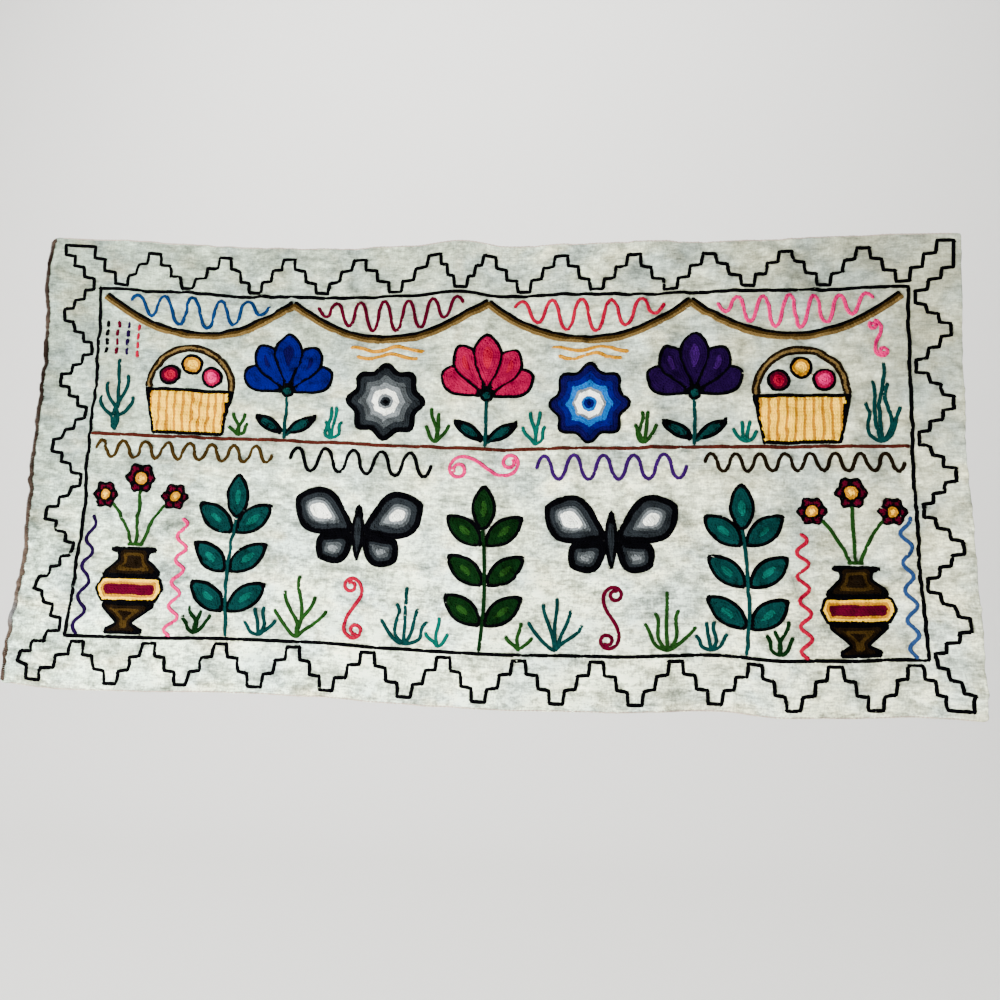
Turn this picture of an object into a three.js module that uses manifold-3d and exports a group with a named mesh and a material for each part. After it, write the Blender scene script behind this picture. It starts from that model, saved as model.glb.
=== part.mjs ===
// Embroidered wall hanging: one wool cloth held at its top edge, with a stepped border and a flower
// garden worked on it in raised rows of chain stitch, and its left edge whipped in brown yarn.
// Millimetres, +Z up. The front faces -Y and the wall is the plane Y = 0. The origin is the middle of
// the straight line between the two top corners.
//
// Places on the cloth are flat ones, as it lies before it is hung: s runs to the right from the middle,
// and t runs up from the top edge, so it is negative on the cloth. hang() turns them into the hung form.

import * as THREE from "three";
import { mergeVertices } from "three/addons/utils/BufferGeometryUtils.js";
import Module from "manifold-3d";

const wasm = await Module();
wasm.setup();

// Driving dimensions
const clothWidth = 1150;
const clothHeight = 573;
const clothThickness = 2;
const halfWidth = clothWidth / 2;
const sewnGap = 0.3; // between the cloth and what is sewn to it
const stitchHeight = 1.4; // how far a row of chain stitch stands up
const rowWidth = 4; // one row of chain stitch
const whipWidth = 6; // how far the whipped edge reaches in from the left
const whipHeight = 1.4;
const whipClearance = 0.1; // between the whipped edge and the wall

// Lines of the design, flat
const frame = { left: -502, right: 513, top: -67, bottom: -510 };
const groundLevel = -262;
const middle = (frame.left + frame.right) / 2;

// Yarn and cloth colours
const colours = {
  cloth: 0xdfe2da,
  black: 0x0c0c10,
  brown: 0x2a1d12,
  umber: 0x4b3917,
  rust: 0x6b2f22,
  whip: 0x6a4a35,
  teal: 0x0b5c58,
  green: 0x1d3d1c,
  crimson: 0x9c0f35,
  magenta: 0xc4104f,
  purple: 0x2a1a5a,
  blue: 0x0f3590,
  grey: 0x3c4448,
  silver: 0x9aa0a2,
  sky: 0x2a78c8,
  orange: 0xb8741c,
  cream: 0xe7ca81,
};

// How far the cloth droops below its flat place, along the top edge, the middle level and the bottom edge
const middleLevel = 315; // down from the top edge
const droop = [
  { s: -575, top: 0, middle: 0, bottom: 0 },
  { s: -497, top: 3, middle: 0.5, bottom: 5.3 },
  { s: -410, top: 8.4, middle: 2, bottom: 4.5 },
  { s: -300, top: 15.5, middle: 4.5, bottom: 1.7 },
  { s: -189, top: 17.5, middle: 7, bottom: 2 },
  { s: -100, top: 13.5, middle: 11, bottom: 6 },
  { s: -34, top: 5.7, middle: 13, bottom: 8 },
  { s: 25, top: 14.7, middle: 13.5, bottom: 9.2 },
  { s: 144, top: 10.4, middle: 10.5, bottom: 7.5 },
  { s: 283, top: 8, middle: 6.5, bottom: 1.1 },
  { s: 350, top: 6.5, middle: 5, bottom: 6.2 },
  { s: 420, top: 4, middle: 4, bottom: 3.5 },
  { s: 497, top: 0.5, middle: 3, bottom: -1.2 },
  { s: 575, top: 0, middle: 2, bottom: 0.5 },
];

// How far each side edge is drawn in at a height
const sidePull = [
  { t: 0, left: 0, right: 0 },
  { t: -46, left: -3, right: 2 },
  { t: -120, left: 4, right: 5 },
  { t: -206, left: 7.5, right: 7 },
  { t: -290, left: 7, right: 8 },
  { t: -345, left: 10, right: 6 },
  { t: -410, left: 9.5, right: 4.5 },
  { t: -470, left: 6, right: 1.5 },
  { t: -530, left: 0.5, right: -1 },
  { t: -573, left: 0, right: 1.5 },
];

// Folds: soft ridges towards the viewer, or troughs where the height is negative, each along a line
const folds = [
  { name: "left droop", from: [-330, 20], to: [-300, -150], width: 120, height: 9 },
  { name: "right droop", from: [260, 20], to: [240, -170], width: 150, height: 8 },
  { name: "middle storage crease", from: [0, -60], to: [2, -600], width: 26, height: 3.5 },
  { name: "level storage crease", from: [-600, -306], to: [600, -300], width: 28, height: 2.6 },
  { name: "left frame trough", from: [-478, -360], to: [-486, -500], width: 34, height: -4.5 },
  { name: "corner fold", from: [-470, -470], to: [-600, -600], width: 30, height: 7 },
  { name: "left edge roll", from: [-590, -90], to: [-590, -520], width: 46, height: 5 },
  { name: "right edge roll", from: [590, -60], to: [590, -560], width: 60, height: 12 },
  { name: "first hem wave", from: [-430, -600], to: [-400, -400], width: 62, height: 6 },
  { name: "second hem wave", from: [-215, -600], to: [-230, -430], width: 52, height: -4 },
  { name: "third hem wave", from: [30, -600], to: [10, -380], width: 80, height: 8 },
  { name: "fourth hem wave", from: [284, -600], to: [275, -450], width: 38, height: -5 },
  { name: "fifth hem wave", from: [372, -600], to: [350, -420], width: 48, height: 7 },
  { name: "sixth hem wave", from: [490, -600], to: [480, -470], width: 40, height: -5 },
  { name: "belly", from: [-150, -260], to: [200, -250], width: 170, height: 5 },
];
const standOff = 7; // how far the free cloth hangs off the wall between its folds
const foldEnd = 70; // a fold fades out over this length past its ends

// Where the top edge is held flat to the wall
const holds = [
  { name: "left", s: -575, t: 0, flat: 66 },
  { name: "middle", s: -34, t: 0, flat: 40 },
  { name: "right", s: 575, t: 0, flat: 66 },
];
const holdFade = 150; // the cloth leaves the wall over this distance
const whipFade = 20; // and the room for the whipped edge closes over this one

// Where the photo was taken from. Flat places were read from it as if they lay on the wall, so a place
// that stands off the wall goes along its line of sight
const eye = { x: 99.9, distance: 949.4, z: -474 };

const mix = (a, b, share) => a + (b - a) * share;
const smooth = (x) => {
  const u = Math.min(1, Math.max(0, x));
  return u * u * (3 - 2 * u);
};

// A value read from a table whose rows are in order of one column
function tableAt(table, key, value, at) {
  const rising = table[0][key] < table[table.length - 1][key];
  const ordered = rising ? table : [...table].reverse();
  const last = ordered.length - 1;
  if (at <= ordered[0][key]) return ordered[0][value];
  if (at >= ordered[last][key]) return ordered[last][value];
  const i = ordered.findIndex((row) => row[key] > at) - 1;
  const share = (at - ordered[i][key]) / (ordered[i + 1][key] - ordered[i][key]);
  return mix(ordered[i][value], ordered[i + 1][value], smooth(share));
}

function foldHeight(fold, s, t) {
  const along = [fold.to[0] - fold.from[0], fold.to[1] - fold.from[1]];
  const length = Math.hypot(...along);
  const across = [s - fold.from[0], t - fold.from[1]];
  const run = (across[0] * along[0] + across[1] * along[1]) / length;
  const off = (across[0] * along[1] - across[1] * along[0]) / length;
  const past = Math.max(0, -run, run - length);
  return fold.height * Math.exp(-((off / fold.width) ** 2)) * (1 - smooth(past / foldEnd));
}

// How far the back of the cloth is from the wall
function depthAt(s, t) {
  const free = folds.reduce((sum, fold) => sum + foldHeight(fold, s, t), standOff);
  const held = holds.map((h) => smooth((Math.hypot(s - h.s, t - h.t) - h.flat) / holdFade));
  const whipRoom = whipHeight + sewnGap + whipClearance;
  const edgeLift = whipRoom * (1 - smooth((s + halfWidth - whipWidth) / whipFade));
  return Math.max(0, free) * Math.min(...held) + edgeLift;
}

function hang(s, t) {
  const upper = -t < middleLevel;
  const share = upper ? -t / middleLevel : (-t - middleLevel) / (clothHeight - middleLevel);
  const drop = mix(
    tableAt(droop, "s", upper ? "top" : "middle", s),
    tableAt(droop, "s", upper ? "middle" : "bottom", s),
    smooth(share),
  );
  const leftShare = ((halfWidth - s) / clothWidth) ** 2;
  const rightShare = ((halfWidth + s) / clothWidth) ** 2;
  const pull =
    tableAt(sidePull, "t", "left", t) * leftShare - tableAt(sidePull, "t", "right", t) * rightShare;
  const depth = depthAt(s, t);
  const nearer = depth / eye.distance;
  return { x: mix(s + pull, eye.x, nearer), z: mix(t - drop, eye.z, nearer), back: -depth };
}

// Stations of the cloth's grid: the whipped edge has its own column
const grid = { columns: 28, rows: 12 };
const even = (from, to, count) =>
  Array.from({ length: count + 1 }, (_, i) => mix(from, to, i / count));
const whipInner = -halfWidth + whipWidth;
const acrossStations = [-halfWidth, ...even(whipInner, halfWidth, grid.columns)];
const downStations = even(0, -clothHeight, grid.rows);

// A closed sheet that follows the cloth between two depths, grown past its left edge and its ends
function sheetSolid(across, down, frontOf, backOf, grow = { left: 0, ends: 0 }) {
  const points = [];
  const place = (i, j, depthOf) => {
    const p = hang(across[i], down[j]);
    const x = p.x - (i === 0 ? grow.left : 0);
    const z = p.z + (j === 0 ? grow.ends : j === down.length - 1 ? -grow.ends : 0);
    points.push(x, depthOf(p.back), z);
  };
  for (const depthOf of [frontOf, backOf])
    for (let j = 0; j < down.length; j++) for (let i = 0; i < across.length; i++) place(i, j, depthOf);
  const wide = across.length;
  const layer = wide * down.length;
  const triangles = [];
  const quad = (a, b, c, d) => triangles.push(a, b, c, a, c, d);
  for (let j = 0; j + 1 < down.length; j++)
    for (let i = 0; i + 1 < wide; i++) {
      const a = j * wide + i;
      quad(a + wide, a + wide + 1, a + 1, a);
      quad(layer + a + 1, layer + a + wide + 1, layer + a + wide, layer + a);
    }
  const rim = (a, b) => quad(a, b, layer + b, layer + a);
  const lowest = layer - wide;
  for (let i = 0; i + 1 < wide; i++) {
    rim(i, i + 1);
    rim(lowest + i + 1, lowest + i);
  }
  for (let j = 0; j < lowest; j += wide) {
    rim(j + wide - 1, j + 2 * wide - 1);
    rim(j + wide, j);
  }
  return new wasm.Manifold(
    new wasm.Mesh({
      numProp: 3,
      vertProperties: new Float32Array(points),
      triVerts: new Uint32Array(triangles),
    }),
  );
}

const frontFace = (back) => back - clothThickness;
const cloth = sheetSolid(acrossStations, downStations, frontFace, (back) => back);
const stitchLayer = sheetSolid(
  acrossStations,
  downStations,
  (back) => frontFace(back) - sewnGap - stitchHeight,
  (back) => frontFace(back) - sewnGap,
);

// The yarn wrapped over the left edge, clear of the cloth by the sewn gap on every side
function whippedEdge() {
  const across = acrossStations.slice(0, 2);
  const beyond = 2;
  const outside = sheetSolid(
    across,
    downStations,
    (back) => frontFace(back) - sewnGap - whipHeight,
    (back) => back + sewnGap + whipHeight,
    { left: sewnGap + whipHeight, ends: 0 },
  );
  const room = sheetSolid(
    [across[0], across[1] + beyond],
    downStations,
    (back) => frontFace(back) - sewnGap,
    (back) => back + sewnGap,
    { left: sewnGap, ends: beyond },
  );
  return outside.subtract(room);
}

// Outlines on the flat cloth, each a list of [s, t]

// A leaf at fullness 1, and a round-ended petal above it
function blade(base, angle, length, width, fullness = 1, steps = 4) {
  const turn = THREE.MathUtils.degToRad(angle);
  const near = [];
  const far = [];
  for (let i = 1; i < steps; i++) {
    const u = i / steps;
    const half = (width / 2) * Math.sin(Math.PI * u ** fullness) ** 0.8;
    near.push([u * length, -half]);
    far.unshift([u * length, half]);
  }
  return [[0, 0], ...near, [length, 0], ...far].map(([a, b]) => [
    base[0] + a * Math.cos(turn) - b * Math.sin(turn),
    base[1] + a * Math.sin(turn) + b * Math.cos(turn),
  ]);
}

// A round shape with a number of lobes, or a plain one where their depth is 0
function rosette(centre, radius, { count, depth, points }) {
  return even(0, 2 * Math.PI, points)
    .slice(0, -1)
    .map((a) => {
      const r = radius * (1 + depth * Math.cos(count * a));
      return [centre[0] + r * Math.cos(a), centre[1] + r * Math.sin(a)];
    });
}

// Corner-to-corner offsets of a path, for rows of stitch of a given width
function offsetPath(path, distance, closed) {
  return path.map((p, i) => {
    const before = closed || i > 0 ? path[(i + path.length - 1) % path.length] : null;
    const after = closed || i < path.length - 1 ? path[(i + 1) % path.length] : null;
    const normals = [];
    for (const [a, b] of [
      [before, p],
      [p, after],
    ]) {
      if (!a || !b) continue;
      const length = Math.hypot(b[0] - a[0], b[1] - a[1]);
      normals.push([-(b[1] - a[1]) / length, (b[0] - a[0]) / length]);
    }
    const sum = normals.reduce((t, n) => [t[0] + n[0], t[1] + n[1]], [0, 0]);
    const scale = (distance * normals.length) / (sum[0] ** 2 + sum[1] ** 2);
    return [p[0] + sum[0] * scale, p[1] + sum[1] * scale];
  });
}

const ribbon = (path, width) => [
  ...offsetPath(path, width / 2, false),
  ...offsetPath(path, -width / 2, false).reverse(),
];

// The prism that stands through the hung cloth on an outline
function raised(outline) {
  const hung = outline.map(([s, t]) => hang(s, t));
  const shape = new THREE.Shape(hung.map((p) => new THREE.Vector2(p.x, p.z)));
  const reach = 80;
  const prism = new THREE.ExtrudeGeometry(shape, { depth: reach, bevelEnabled: false });
  prism.rotateX(Math.PI / 2).translate(0, reach / 8, 0);
  prism.deleteAttribute("normal");
  prism.deleteAttribute("uv");
  const merged = mergeVertices(prism, 1e-4);
  return new wasm.Manifold(
    new wasm.Mesh({
      numProp: 3,
      vertProperties: merged.attributes.position.array,
      triVerts: new Uint32Array(merged.index.array),
    }),
  );
}

const worked = (outlines) =>
  outlines
    .map((outline) => raised(outline))
    .reduce((all, one) => all.add(one))
    .intersect(stitchLayer);

// Border: one zigzag row that climbs to each peak and falls again in three steps, with an arm of the
// same steps at each corner. Peaks are where they were drawn by hand, so no two gaps are quite alike
const lean = 1.8; // a riser leans this far along
const slope = 1.8; // a tread rises or falls this far
const flat = { peak: 15, valley: 15 };

// Each side in the order that the row runs: its peaks, and how far out of the frame it swings
const sides = {
  top: { peaks: [-433, -338, -253, -162, -66, 4, 94, 184, 276, 368, 460], valley: 6, reach: 51 },
  right: { peaks: [-121, -210, -295, -380, -468], valley: 8, reach: 49 },
  bottom: { peaks: [455, 366, 278, 188, 98, 8, -79, -172, -260, -351, -437], valley: 6.5, reach: 55 },
  left: { peaks: [-451, -365, -279, -193, -106], valley: 9, reach: 48 },
};

// Each corner arm: where it leaves the side before it, the corners of its tip, and where it joins the
// side after it. Moves are the level and upright lines of a flight of stairs between two of those
const arms = {
  topRight: {
    from: [514, -60],
    tip: [[547, -9], [566, -9], [566, -43]],
    to: [521, -73],
    moves: { up: 5, down: 5 },
  },
  bottomRight: {
    from: [521, -517],
    tip: [[562, -546], [561, -564], [533, -564]],
    to: [506, -516.5],
    moves: { up: 5, down: 5 },
  },
  bottomLeft: {
    from: [-492, -516.5],
    tip: [[-527, -565], [-543, -565], [-543, -550], [-557, -546]],
    to: [-511, -505],
    moves: { up: 5, down: 6 },
  },
  topLeft: {
    from: [-511, -54],
    tip: [[-556, -10], [-516, -10]],
    to: [-482, -60],
    moves: { up: 6, down: 5 },
  },
};

// The corners of a flight of stairs after its first point, in a number of level and upright moves
function stair(from, to, moves, levelFirst) {
  const total = [to[0] - from[0], to[1] - from[1]];
  const levels = levelFirst ? Math.ceil(moves / 2) : Math.floor(moves / 2);
  const uprights = moves - levels;
  const leaning = lean * Math.sign(total[0]);
  const sloping = slope * Math.sign(total[1]);
  const level = [(total[0] - uprights * leaning) / levels, sloping];
  const upright = [leaning, (total[1] - levels * sloping) / uprights];
  const path = [];
  let at = from;
  for (let k = 0; k < moves; k++) {
    const move = (k % 2 === 0) === levelFirst ? level : upright;
    at = [at[0] + move[0], at[1] + move[1]];
    path.push(at);
  }
  return path;
}

// One side from the valley after one arm to the valley before the next
function sidePath(name, start, end) {
  const { peaks, valley, reach } = sides[name];
  const upright = name === "left" || name === "right";
  const edge = frame[name];
  const outward = name === "left" || name === "bottom" ? -1 : 1;
  const ahead = Math.sign(peaks[1] - peaks[0]);
  const at = (along, out) =>
    upright ? [edge + outward * out, along] : [along, edge + outward * out];
  const half = flat.peak / 2;
  const path = [start];
  let foot = at((upright ? start[1] : start[0]) + ahead * flat.valley, valley);
  path.push(foot);
  peaks.forEach((peak, k) => {
    path.push(...stair(foot, at(peak - ahead * half, reach), 5, upright));
    const last = k === peaks.length - 1;
    const middleOf = (peak + peaks[k + 1]) / 2;
    const valleyStart = last
      ? (upright ? end[1] : end[0]) - ahead * flat.valley
      : middleOf - (ahead * flat.valley) / 2;
    const fallFrom = at(peak + ahead * half, reach);
    path.push(fallFrom, ...stair(fallFrom, at(valleyStart, valley), 5, upright));
    foot = at(valleyStart + ahead * flat.valley, valley);
    if (!last) path.push(foot);
  });
  return path;
}

function armPath({ from, tip, to, moves }, levelOut, levelBack) {
  const lastTip = tip[tip.length - 1];
  return [
    from,
    ...stair(from, tip[0], moves.up, levelOut),
    ...tip.slice(1),
    ...stair(lastTip, to, moves.down, levelBack).slice(0, -1),
  ];
}

const borderPath = () => [
  ...sidePath("top", arms.topLeft.to, arms.topRight.from),
  ...armPath(arms.topRight, false, true),
  ...sidePath("right", arms.topRight.to, arms.bottomRight.from),
  ...armPath(arms.bottomRight, true, false),
  ...sidePath("bottom", arms.bottomRight.to, arms.bottomLeft.from),
  ...armPath(arms.bottomLeft, false, false),
  ...sidePath("left", arms.bottomLeft.to, arms.topLeft.from),
  ...armPath(arms.topLeft, true, false),
];

function closedRow(path, width) {
  const outer = raised(offsetPath(path, width / 2, true));
  const inner = raised(offsetPath(path, -width / 2, true));
  return outer.subtract(inner).intersect(stitchLayer);
}

function framePath() {
  const across = even(frame.left, frame.right, 20);
  const down = even(frame.top, frame.bottom, 6);
  return [
    ...across.slice(0, -1).map((s) => [s, frame.top]),
    ...down.slice(0, -1).map((t) => [frame.right, t]),
    ...across.slice(1).reverse().map((s) => [s, frame.bottom]),
    ...down.slice(1).reverse().map((t) => [frame.left, t]),
  ];
}

// The clear space that each motif keeps to the lines and to its neighbours
const clear = rowWidth / 2 + 1.5;

const groundPath = () =>
  even(frame.left + clear, frame.right - clear, 18).map((s) => [s, groundLevel]);

// Garden motifs

// Four swags that hang side by side under the frame's top line
const swag = { count: 4, drop: 48, width: 11, topClear: 10 };
function garland() {
  const from = frame.left + clear + swag.width / 2;
  const to = frame.right - clear - swag.width / 2;
  const span = (to - from) / swag.count;
  const outlines = [];
  for (let k = 0; k < swag.count; k++) {
    const path = even(0, 1, 6).map((u) => [
      from + span * (k + u),
      frame.top - swag.topClear - swag.drop * 4 * u * (1 - u),
    ]);
    outlines.push(ribbon(path, swag.width));
  }
  return worked(outlines);
}

// A leafy branch: a stem with pairs of leaves, and one leaf at its tip
const sprig = { height: 205, pairs: 3, spread: 38, leaf: { length: 60, width: 30 } };
function branch(at, bend) {
  const { height, pairs, spread, leaf } = sprig;
  const top = height - leaf.length; // the tip leaf stands on the stem
  const stemAt = (u) => [at + bend * Math.sin(Math.PI * u), lowerBase + top * u];
  const outlines = [ribbon(even(0, 1, 4).map(stemAt), rowWidth)];
  for (let k = 0; k < pairs; k++) {
    const foot = stemAt((k + 0.6) / pairs);
    for (const angle of [spread, 180 - spread]) outlines.push(blade(foot, angle, leaf.length, leaf.width));
  }
  outlines.push(blade(stemAt(0.98), 90, leaf.length, leaf.width));
  return worked(outlines);
}

// An urn from its profile: the share of its height, and the half width there
const urn = {
  height: 104,
  profile: [
    { level: 0, half: 24 },
    { level: 0.07, half: 24 },
    { level: 0.13, half: 11 },
    { level: 0.3, half: 32 },
    { level: 0.52, half: 44 },
    { level: 0.72, half: 35 },
    { level: 0.86, half: 19 },
    { level: 0.93, half: 20 },
    { level: 0.94, half: 29 },
    { level: 1, half: 29 },
  ],
};
function urnBody(at) {
  const side = (way) =>
    urn.profile.map(({ level, half }) => [at + way * half, lowerBase + level * urn.height]);
  return worked([[...side(1), ...side(-1).reverse()]]);
}

// A posy of three blooms on stems that meet on a short row at the urn's mouth
const bloomLobes = { count: 6, depth: 0.12, points: 12 };
const mouth = { half: 9, spread: 0.14 };
function posy(at) {
  const base = lowerBase + urn.height + clear;
  const mouthRow = [
    [at - mouth.half, base],
    [at + mouth.half, base],
  ];
  const outlines = [ribbon(mouthRow, rowWidth)];
  for (const { reach, rise, bloom } of stems) {
    const foot = [at + reach * mouth.spread, base];
    const head = [at + reach, base + rise];
    const bend = [mix(foot[0], head[0], 0.3), mix(foot[1], head[1], 0.6)];
    outlines.push(ribbon([foot, bend, head], rowWidth), rosette(head, bloom, bloomLobes));
  }
  return worked(outlines);
}

// A butterfly: two pairs of wings and a body
const wings = [
  { name: "upper", angle: 28, rise: -2, length: 90, width: 58 },
  { name: "lower", angle: -38, rise: 4, length: 62, width: 44 },
];
const insect = { below: 40, length: 78, width: 15 };
function butterfly(at, base) {
  const outlines = [blade([at, base - insect.below], 90, insect.length, insect.width, 1.1, 6)];
  for (const { angle, rise, length, width } of wings)
    for (const way of [angle, 180 - angle])
      outlines.push(blade([at, base + rise], way, length, width, 1.5, 7));
  return worked(outlines);
}

// A fan blossom: petals that spread from one foot, the middle one the longest
const fan = { petals: 5, spread: 30, length: 84, width: 38, fall: 0.1 };
function blossom(at) {
  const half = (fan.petals - 1) / 2;
  const outlines = [];
  for (let k = -half; k <= half; k++) {
    const length = fan.length * (1 - fan.fall * Math.abs(k));
    outlines.push(blade([at, bloomBase], 90 - k * fan.spread, length, fan.width, 1.7, 7));
  }
  return worked(outlines);
}

// The stalk of a blossom, with a pair of leaves
const stalkLeaf = { rise: 6, spread: 30, length: 48, width: 17 };
function stalk(at) {
  const outlines = [ribbon([[at, upperBase], [at, bloomBase - clear]], rowWidth)];
  for (const angle of [stalkLeaf.spread, 180 - stalkLeaf.spread])
    outlines.push(blade([at, upperBase + stalkLeaf.rise], angle, stalkLeaf.length, stalkLeaf.width));
  return worked(outlines);
}

// A basket's body, and the handle that arches over it
const basket = { top: 116, bottom: 92, height: 60, band: 9, arch: 112 };
function basketBody(at) {
  const level = (half, t) => [
    [at - half, t],
    [at + half, t],
  ];
  const foot = level(basket.bottom / 2, upperBase);
  const rim = level(basket.top / 2, upperBase + basket.height);
  return worked([[...foot, ...rim.reverse()]]);
}
function basketHandle(at) {
  const half = (basket.top - basket.band) / 2;
  const path = even(0, Math.PI, 12).map((a) => [
    at - half * Math.cos(a),
    basketRim + (basket.arch - basket.height) * Math.sin(a),
  ]);
  return worked([ribbon(path, basket.band)]);
}

// Where each motif stands, and its own sizes. The tall ones are in the lower register
const upperBase = groundLevel + clear;
const lowerBase = frame.bottom + clear;
const branches = [
  { side: "left", at: middle - 308, bend: -5, yarn: "teal" },
  { side: "middle", at: middle, bend: 4, yarn: "green" },
  { side: "right", at: middle + 308, bend: 5, yarn: "teal" },
];
const vases = [
  { side: "left", at: middle - 435 },
  { side: "right", at: middle + 435 },
];
const stems = [
  { reach: -46, rise: 60, bloom: 16 },
  { reach: 0, rise: 82, bloom: 18 },
  { reach: 46, rise: 60, bloom: 16 },
];
const butterflies = [
  { side: "left", at: middle - 154, base: -372 },
  { side: "right", at: middle + 154, base: -372 },
];
const blooms = [
  { yarn: "blue", at: middle - 254 },
  { yarn: "magenta", at: middle },
  { yarn: "purple", at: middle + 254 },
];
const bloomBase = groundLevel + 62;
const medallions = [
  { side: "left", centre: [middle - 127, -206], yarn: "silver" },
  { side: "right", centre: [middle + 127, -206], yarn: "sky" },
];
const medallion = { radius: 46, lobes: { count: 8, depth: 0.1, points: 32 } };
const baskets = [
  { side: "left", at: middle - 381 },
  { side: "right", at: middle + 381 },
];
const fruits = [
  { place: "first", across: -27, rise: 14, yarn: "crimson" },
  { place: "second", across: 0, rise: 30, yarn: "orange" },
  { place: "third", across: 27, rise: 14, yarn: "magenta" },
];
const fruit = { radius: 14, lobes: { count: 0, depth: 0, points: 16 } };
const basketRim = upperBase + basket.height + clear;

function geometryOf(solid) {
  const mesh = solid.getMesh();
  const geometry = new THREE.BufferGeometry();
  geometry.setAttribute("position", new THREE.BufferAttribute(mesh.vertProperties, 3));
  geometry.setIndex(new THREE.BufferAttribute(mesh.triVerts, 1));
  geometry.computeVertexNormals();
  return geometry;
}

const hanging = new THREE.Group();

function addPiece(name, solid, yarn) {
  const material = new THREE.MeshStandardMaterial({ color: colours[yarn], roughness: 0.9, metalness: 0 });
  const mesh = new THREE.Mesh(geometryOf(solid), material);
  mesh.name = name;
  hanging.add(mesh);
}

addPiece("ground_cloth", cloth, "cloth");
addPiece("edge_whipping", whippedEdge(), "whip");
addPiece("step_border", closedRow(borderPath(), rowWidth), "black");
addPiece("frame_line", closedRow(framePath(), rowWidth), "black");
addPiece("ground_line", worked([ribbon(groundPath(), rowWidth)]), "rust");
addPiece("garland", garland(), "umber");

for (const { side, at, bend, yarn } of branches) addPiece("branch_" + side, branch(at, bend), yarn);
for (const { side, at } of vases) {
  addPiece("urn_" + side, urnBody(at), "brown");
  addPiece("posy_" + side, posy(at), "crimson");
}
for (const { side, at, base } of butterflies) addPiece("butterfly_" + side, butterfly(at, base), "grey");
for (const { yarn, at } of blooms) {
  addPiece("blossom_" + yarn, blossom(at), yarn);
  addPiece("stalk_" + yarn, stalk(at), "teal");
}
for (const { side, centre, yarn } of medallions)
  addPiece("medallion_" + side, worked([rosette(centre, medallion.radius, medallion.lobes)]), yarn);
for (const { side, at } of baskets) {
  addPiece("basket_" + side, basketBody(at), "cream");
  addPiece("handle_" + side, basketHandle(at), "brown");
  for (const { place, across, rise, yarn } of fruits) {
    const centre = [at + across, basketRim + rise];
    const outline = rosette(centre, fruit.radius, fruit.lobes);
    addPiece("fruit_" + place + "_" + side, worked([outline]), yarn);
  }
}

export default hanging;
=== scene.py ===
# Embroidered wall hanging: one wool cloth on its hung form, worked in rows of chain stitch.
# Every place on the cloth is a flat one in millimetres until the cloth is hung. The front faces -Y.
import bpy
import math
import numpy as np
from mathutils import Matrix, Vector
from mathutils.kdtree import KDTree


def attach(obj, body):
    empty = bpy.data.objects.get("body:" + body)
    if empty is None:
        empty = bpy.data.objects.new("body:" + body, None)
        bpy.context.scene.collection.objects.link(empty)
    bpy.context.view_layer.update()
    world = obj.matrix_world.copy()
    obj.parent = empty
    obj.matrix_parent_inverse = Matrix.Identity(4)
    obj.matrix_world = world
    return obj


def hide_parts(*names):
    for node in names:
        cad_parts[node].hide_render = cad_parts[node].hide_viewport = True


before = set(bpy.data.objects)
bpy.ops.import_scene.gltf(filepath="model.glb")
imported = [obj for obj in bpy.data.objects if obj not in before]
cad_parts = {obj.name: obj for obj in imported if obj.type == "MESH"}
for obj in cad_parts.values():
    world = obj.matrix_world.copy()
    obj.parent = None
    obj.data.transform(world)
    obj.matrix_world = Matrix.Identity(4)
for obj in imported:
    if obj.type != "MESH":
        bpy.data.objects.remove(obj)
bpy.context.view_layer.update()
mm = 0.001

# Camera, where the photograph was taken from
viewpoint = {
    "place": (0.0999, -0.9514, -0.4740),
    "ahead": (-0.0770, 0.9856, 0.1505),
    "up": (-0.0192, -0.1524, 0.9881),
    "lens": 28.87,
    "shiftUp": -0.007,
}


def makeCamera():
    data = bpy.data.cameras.new("camera")
    data.lens = viewpoint["lens"]
    data.sensor_width = 36.0
    data.shift_y = viewpoint["shiftUp"]
    data.clip_end = 30.0
    camera = bpy.data.objects.new("camera", data)
    bpy.context.scene.collection.objects.link(camera)
    ahead = Vector(viewpoint["ahead"]).normalized()
    right = ahead.cross(Vector(viewpoint["up"])).normalized()
    up = right.cross(ahead)
    turned = Matrix((right, up, -ahead)).transposed().to_4x4()
    camera.matrix_world = Matrix.Translation(viewpoint["place"]) @ turned
    bpy.context.scene.camera = camera


makeCamera()
print("camera placed")

# Flat places, in millimetres: s runs right from the middle of the cloth, t runs up from its top edge
cloth = {"width": 1150.0, "height": 573.0, "thickness": 2.0}
lines = {"left": -502.0, "right": 513.0, "top": -67.0, "bottom": -510.0, "ground": -262.0}
middle = (lines["left"] + lines["right"]) / 2
clear = 3.5  # what each motif keeps to the lines and to its neighbours
upperBase = lines["ground"] + clear
lowerBase = lines["bottom"] + clear

# Chain stitch as it is worked here
stitch = {
    "pitch": 4.2, "height": 1.45, "rowGap": 3.3, "outline": 1.9, "bare": 1.75, "cell": 1.1,
    "innerCore": 1.35, "endScale": 0.6, "closer": 0.95,
}

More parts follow.
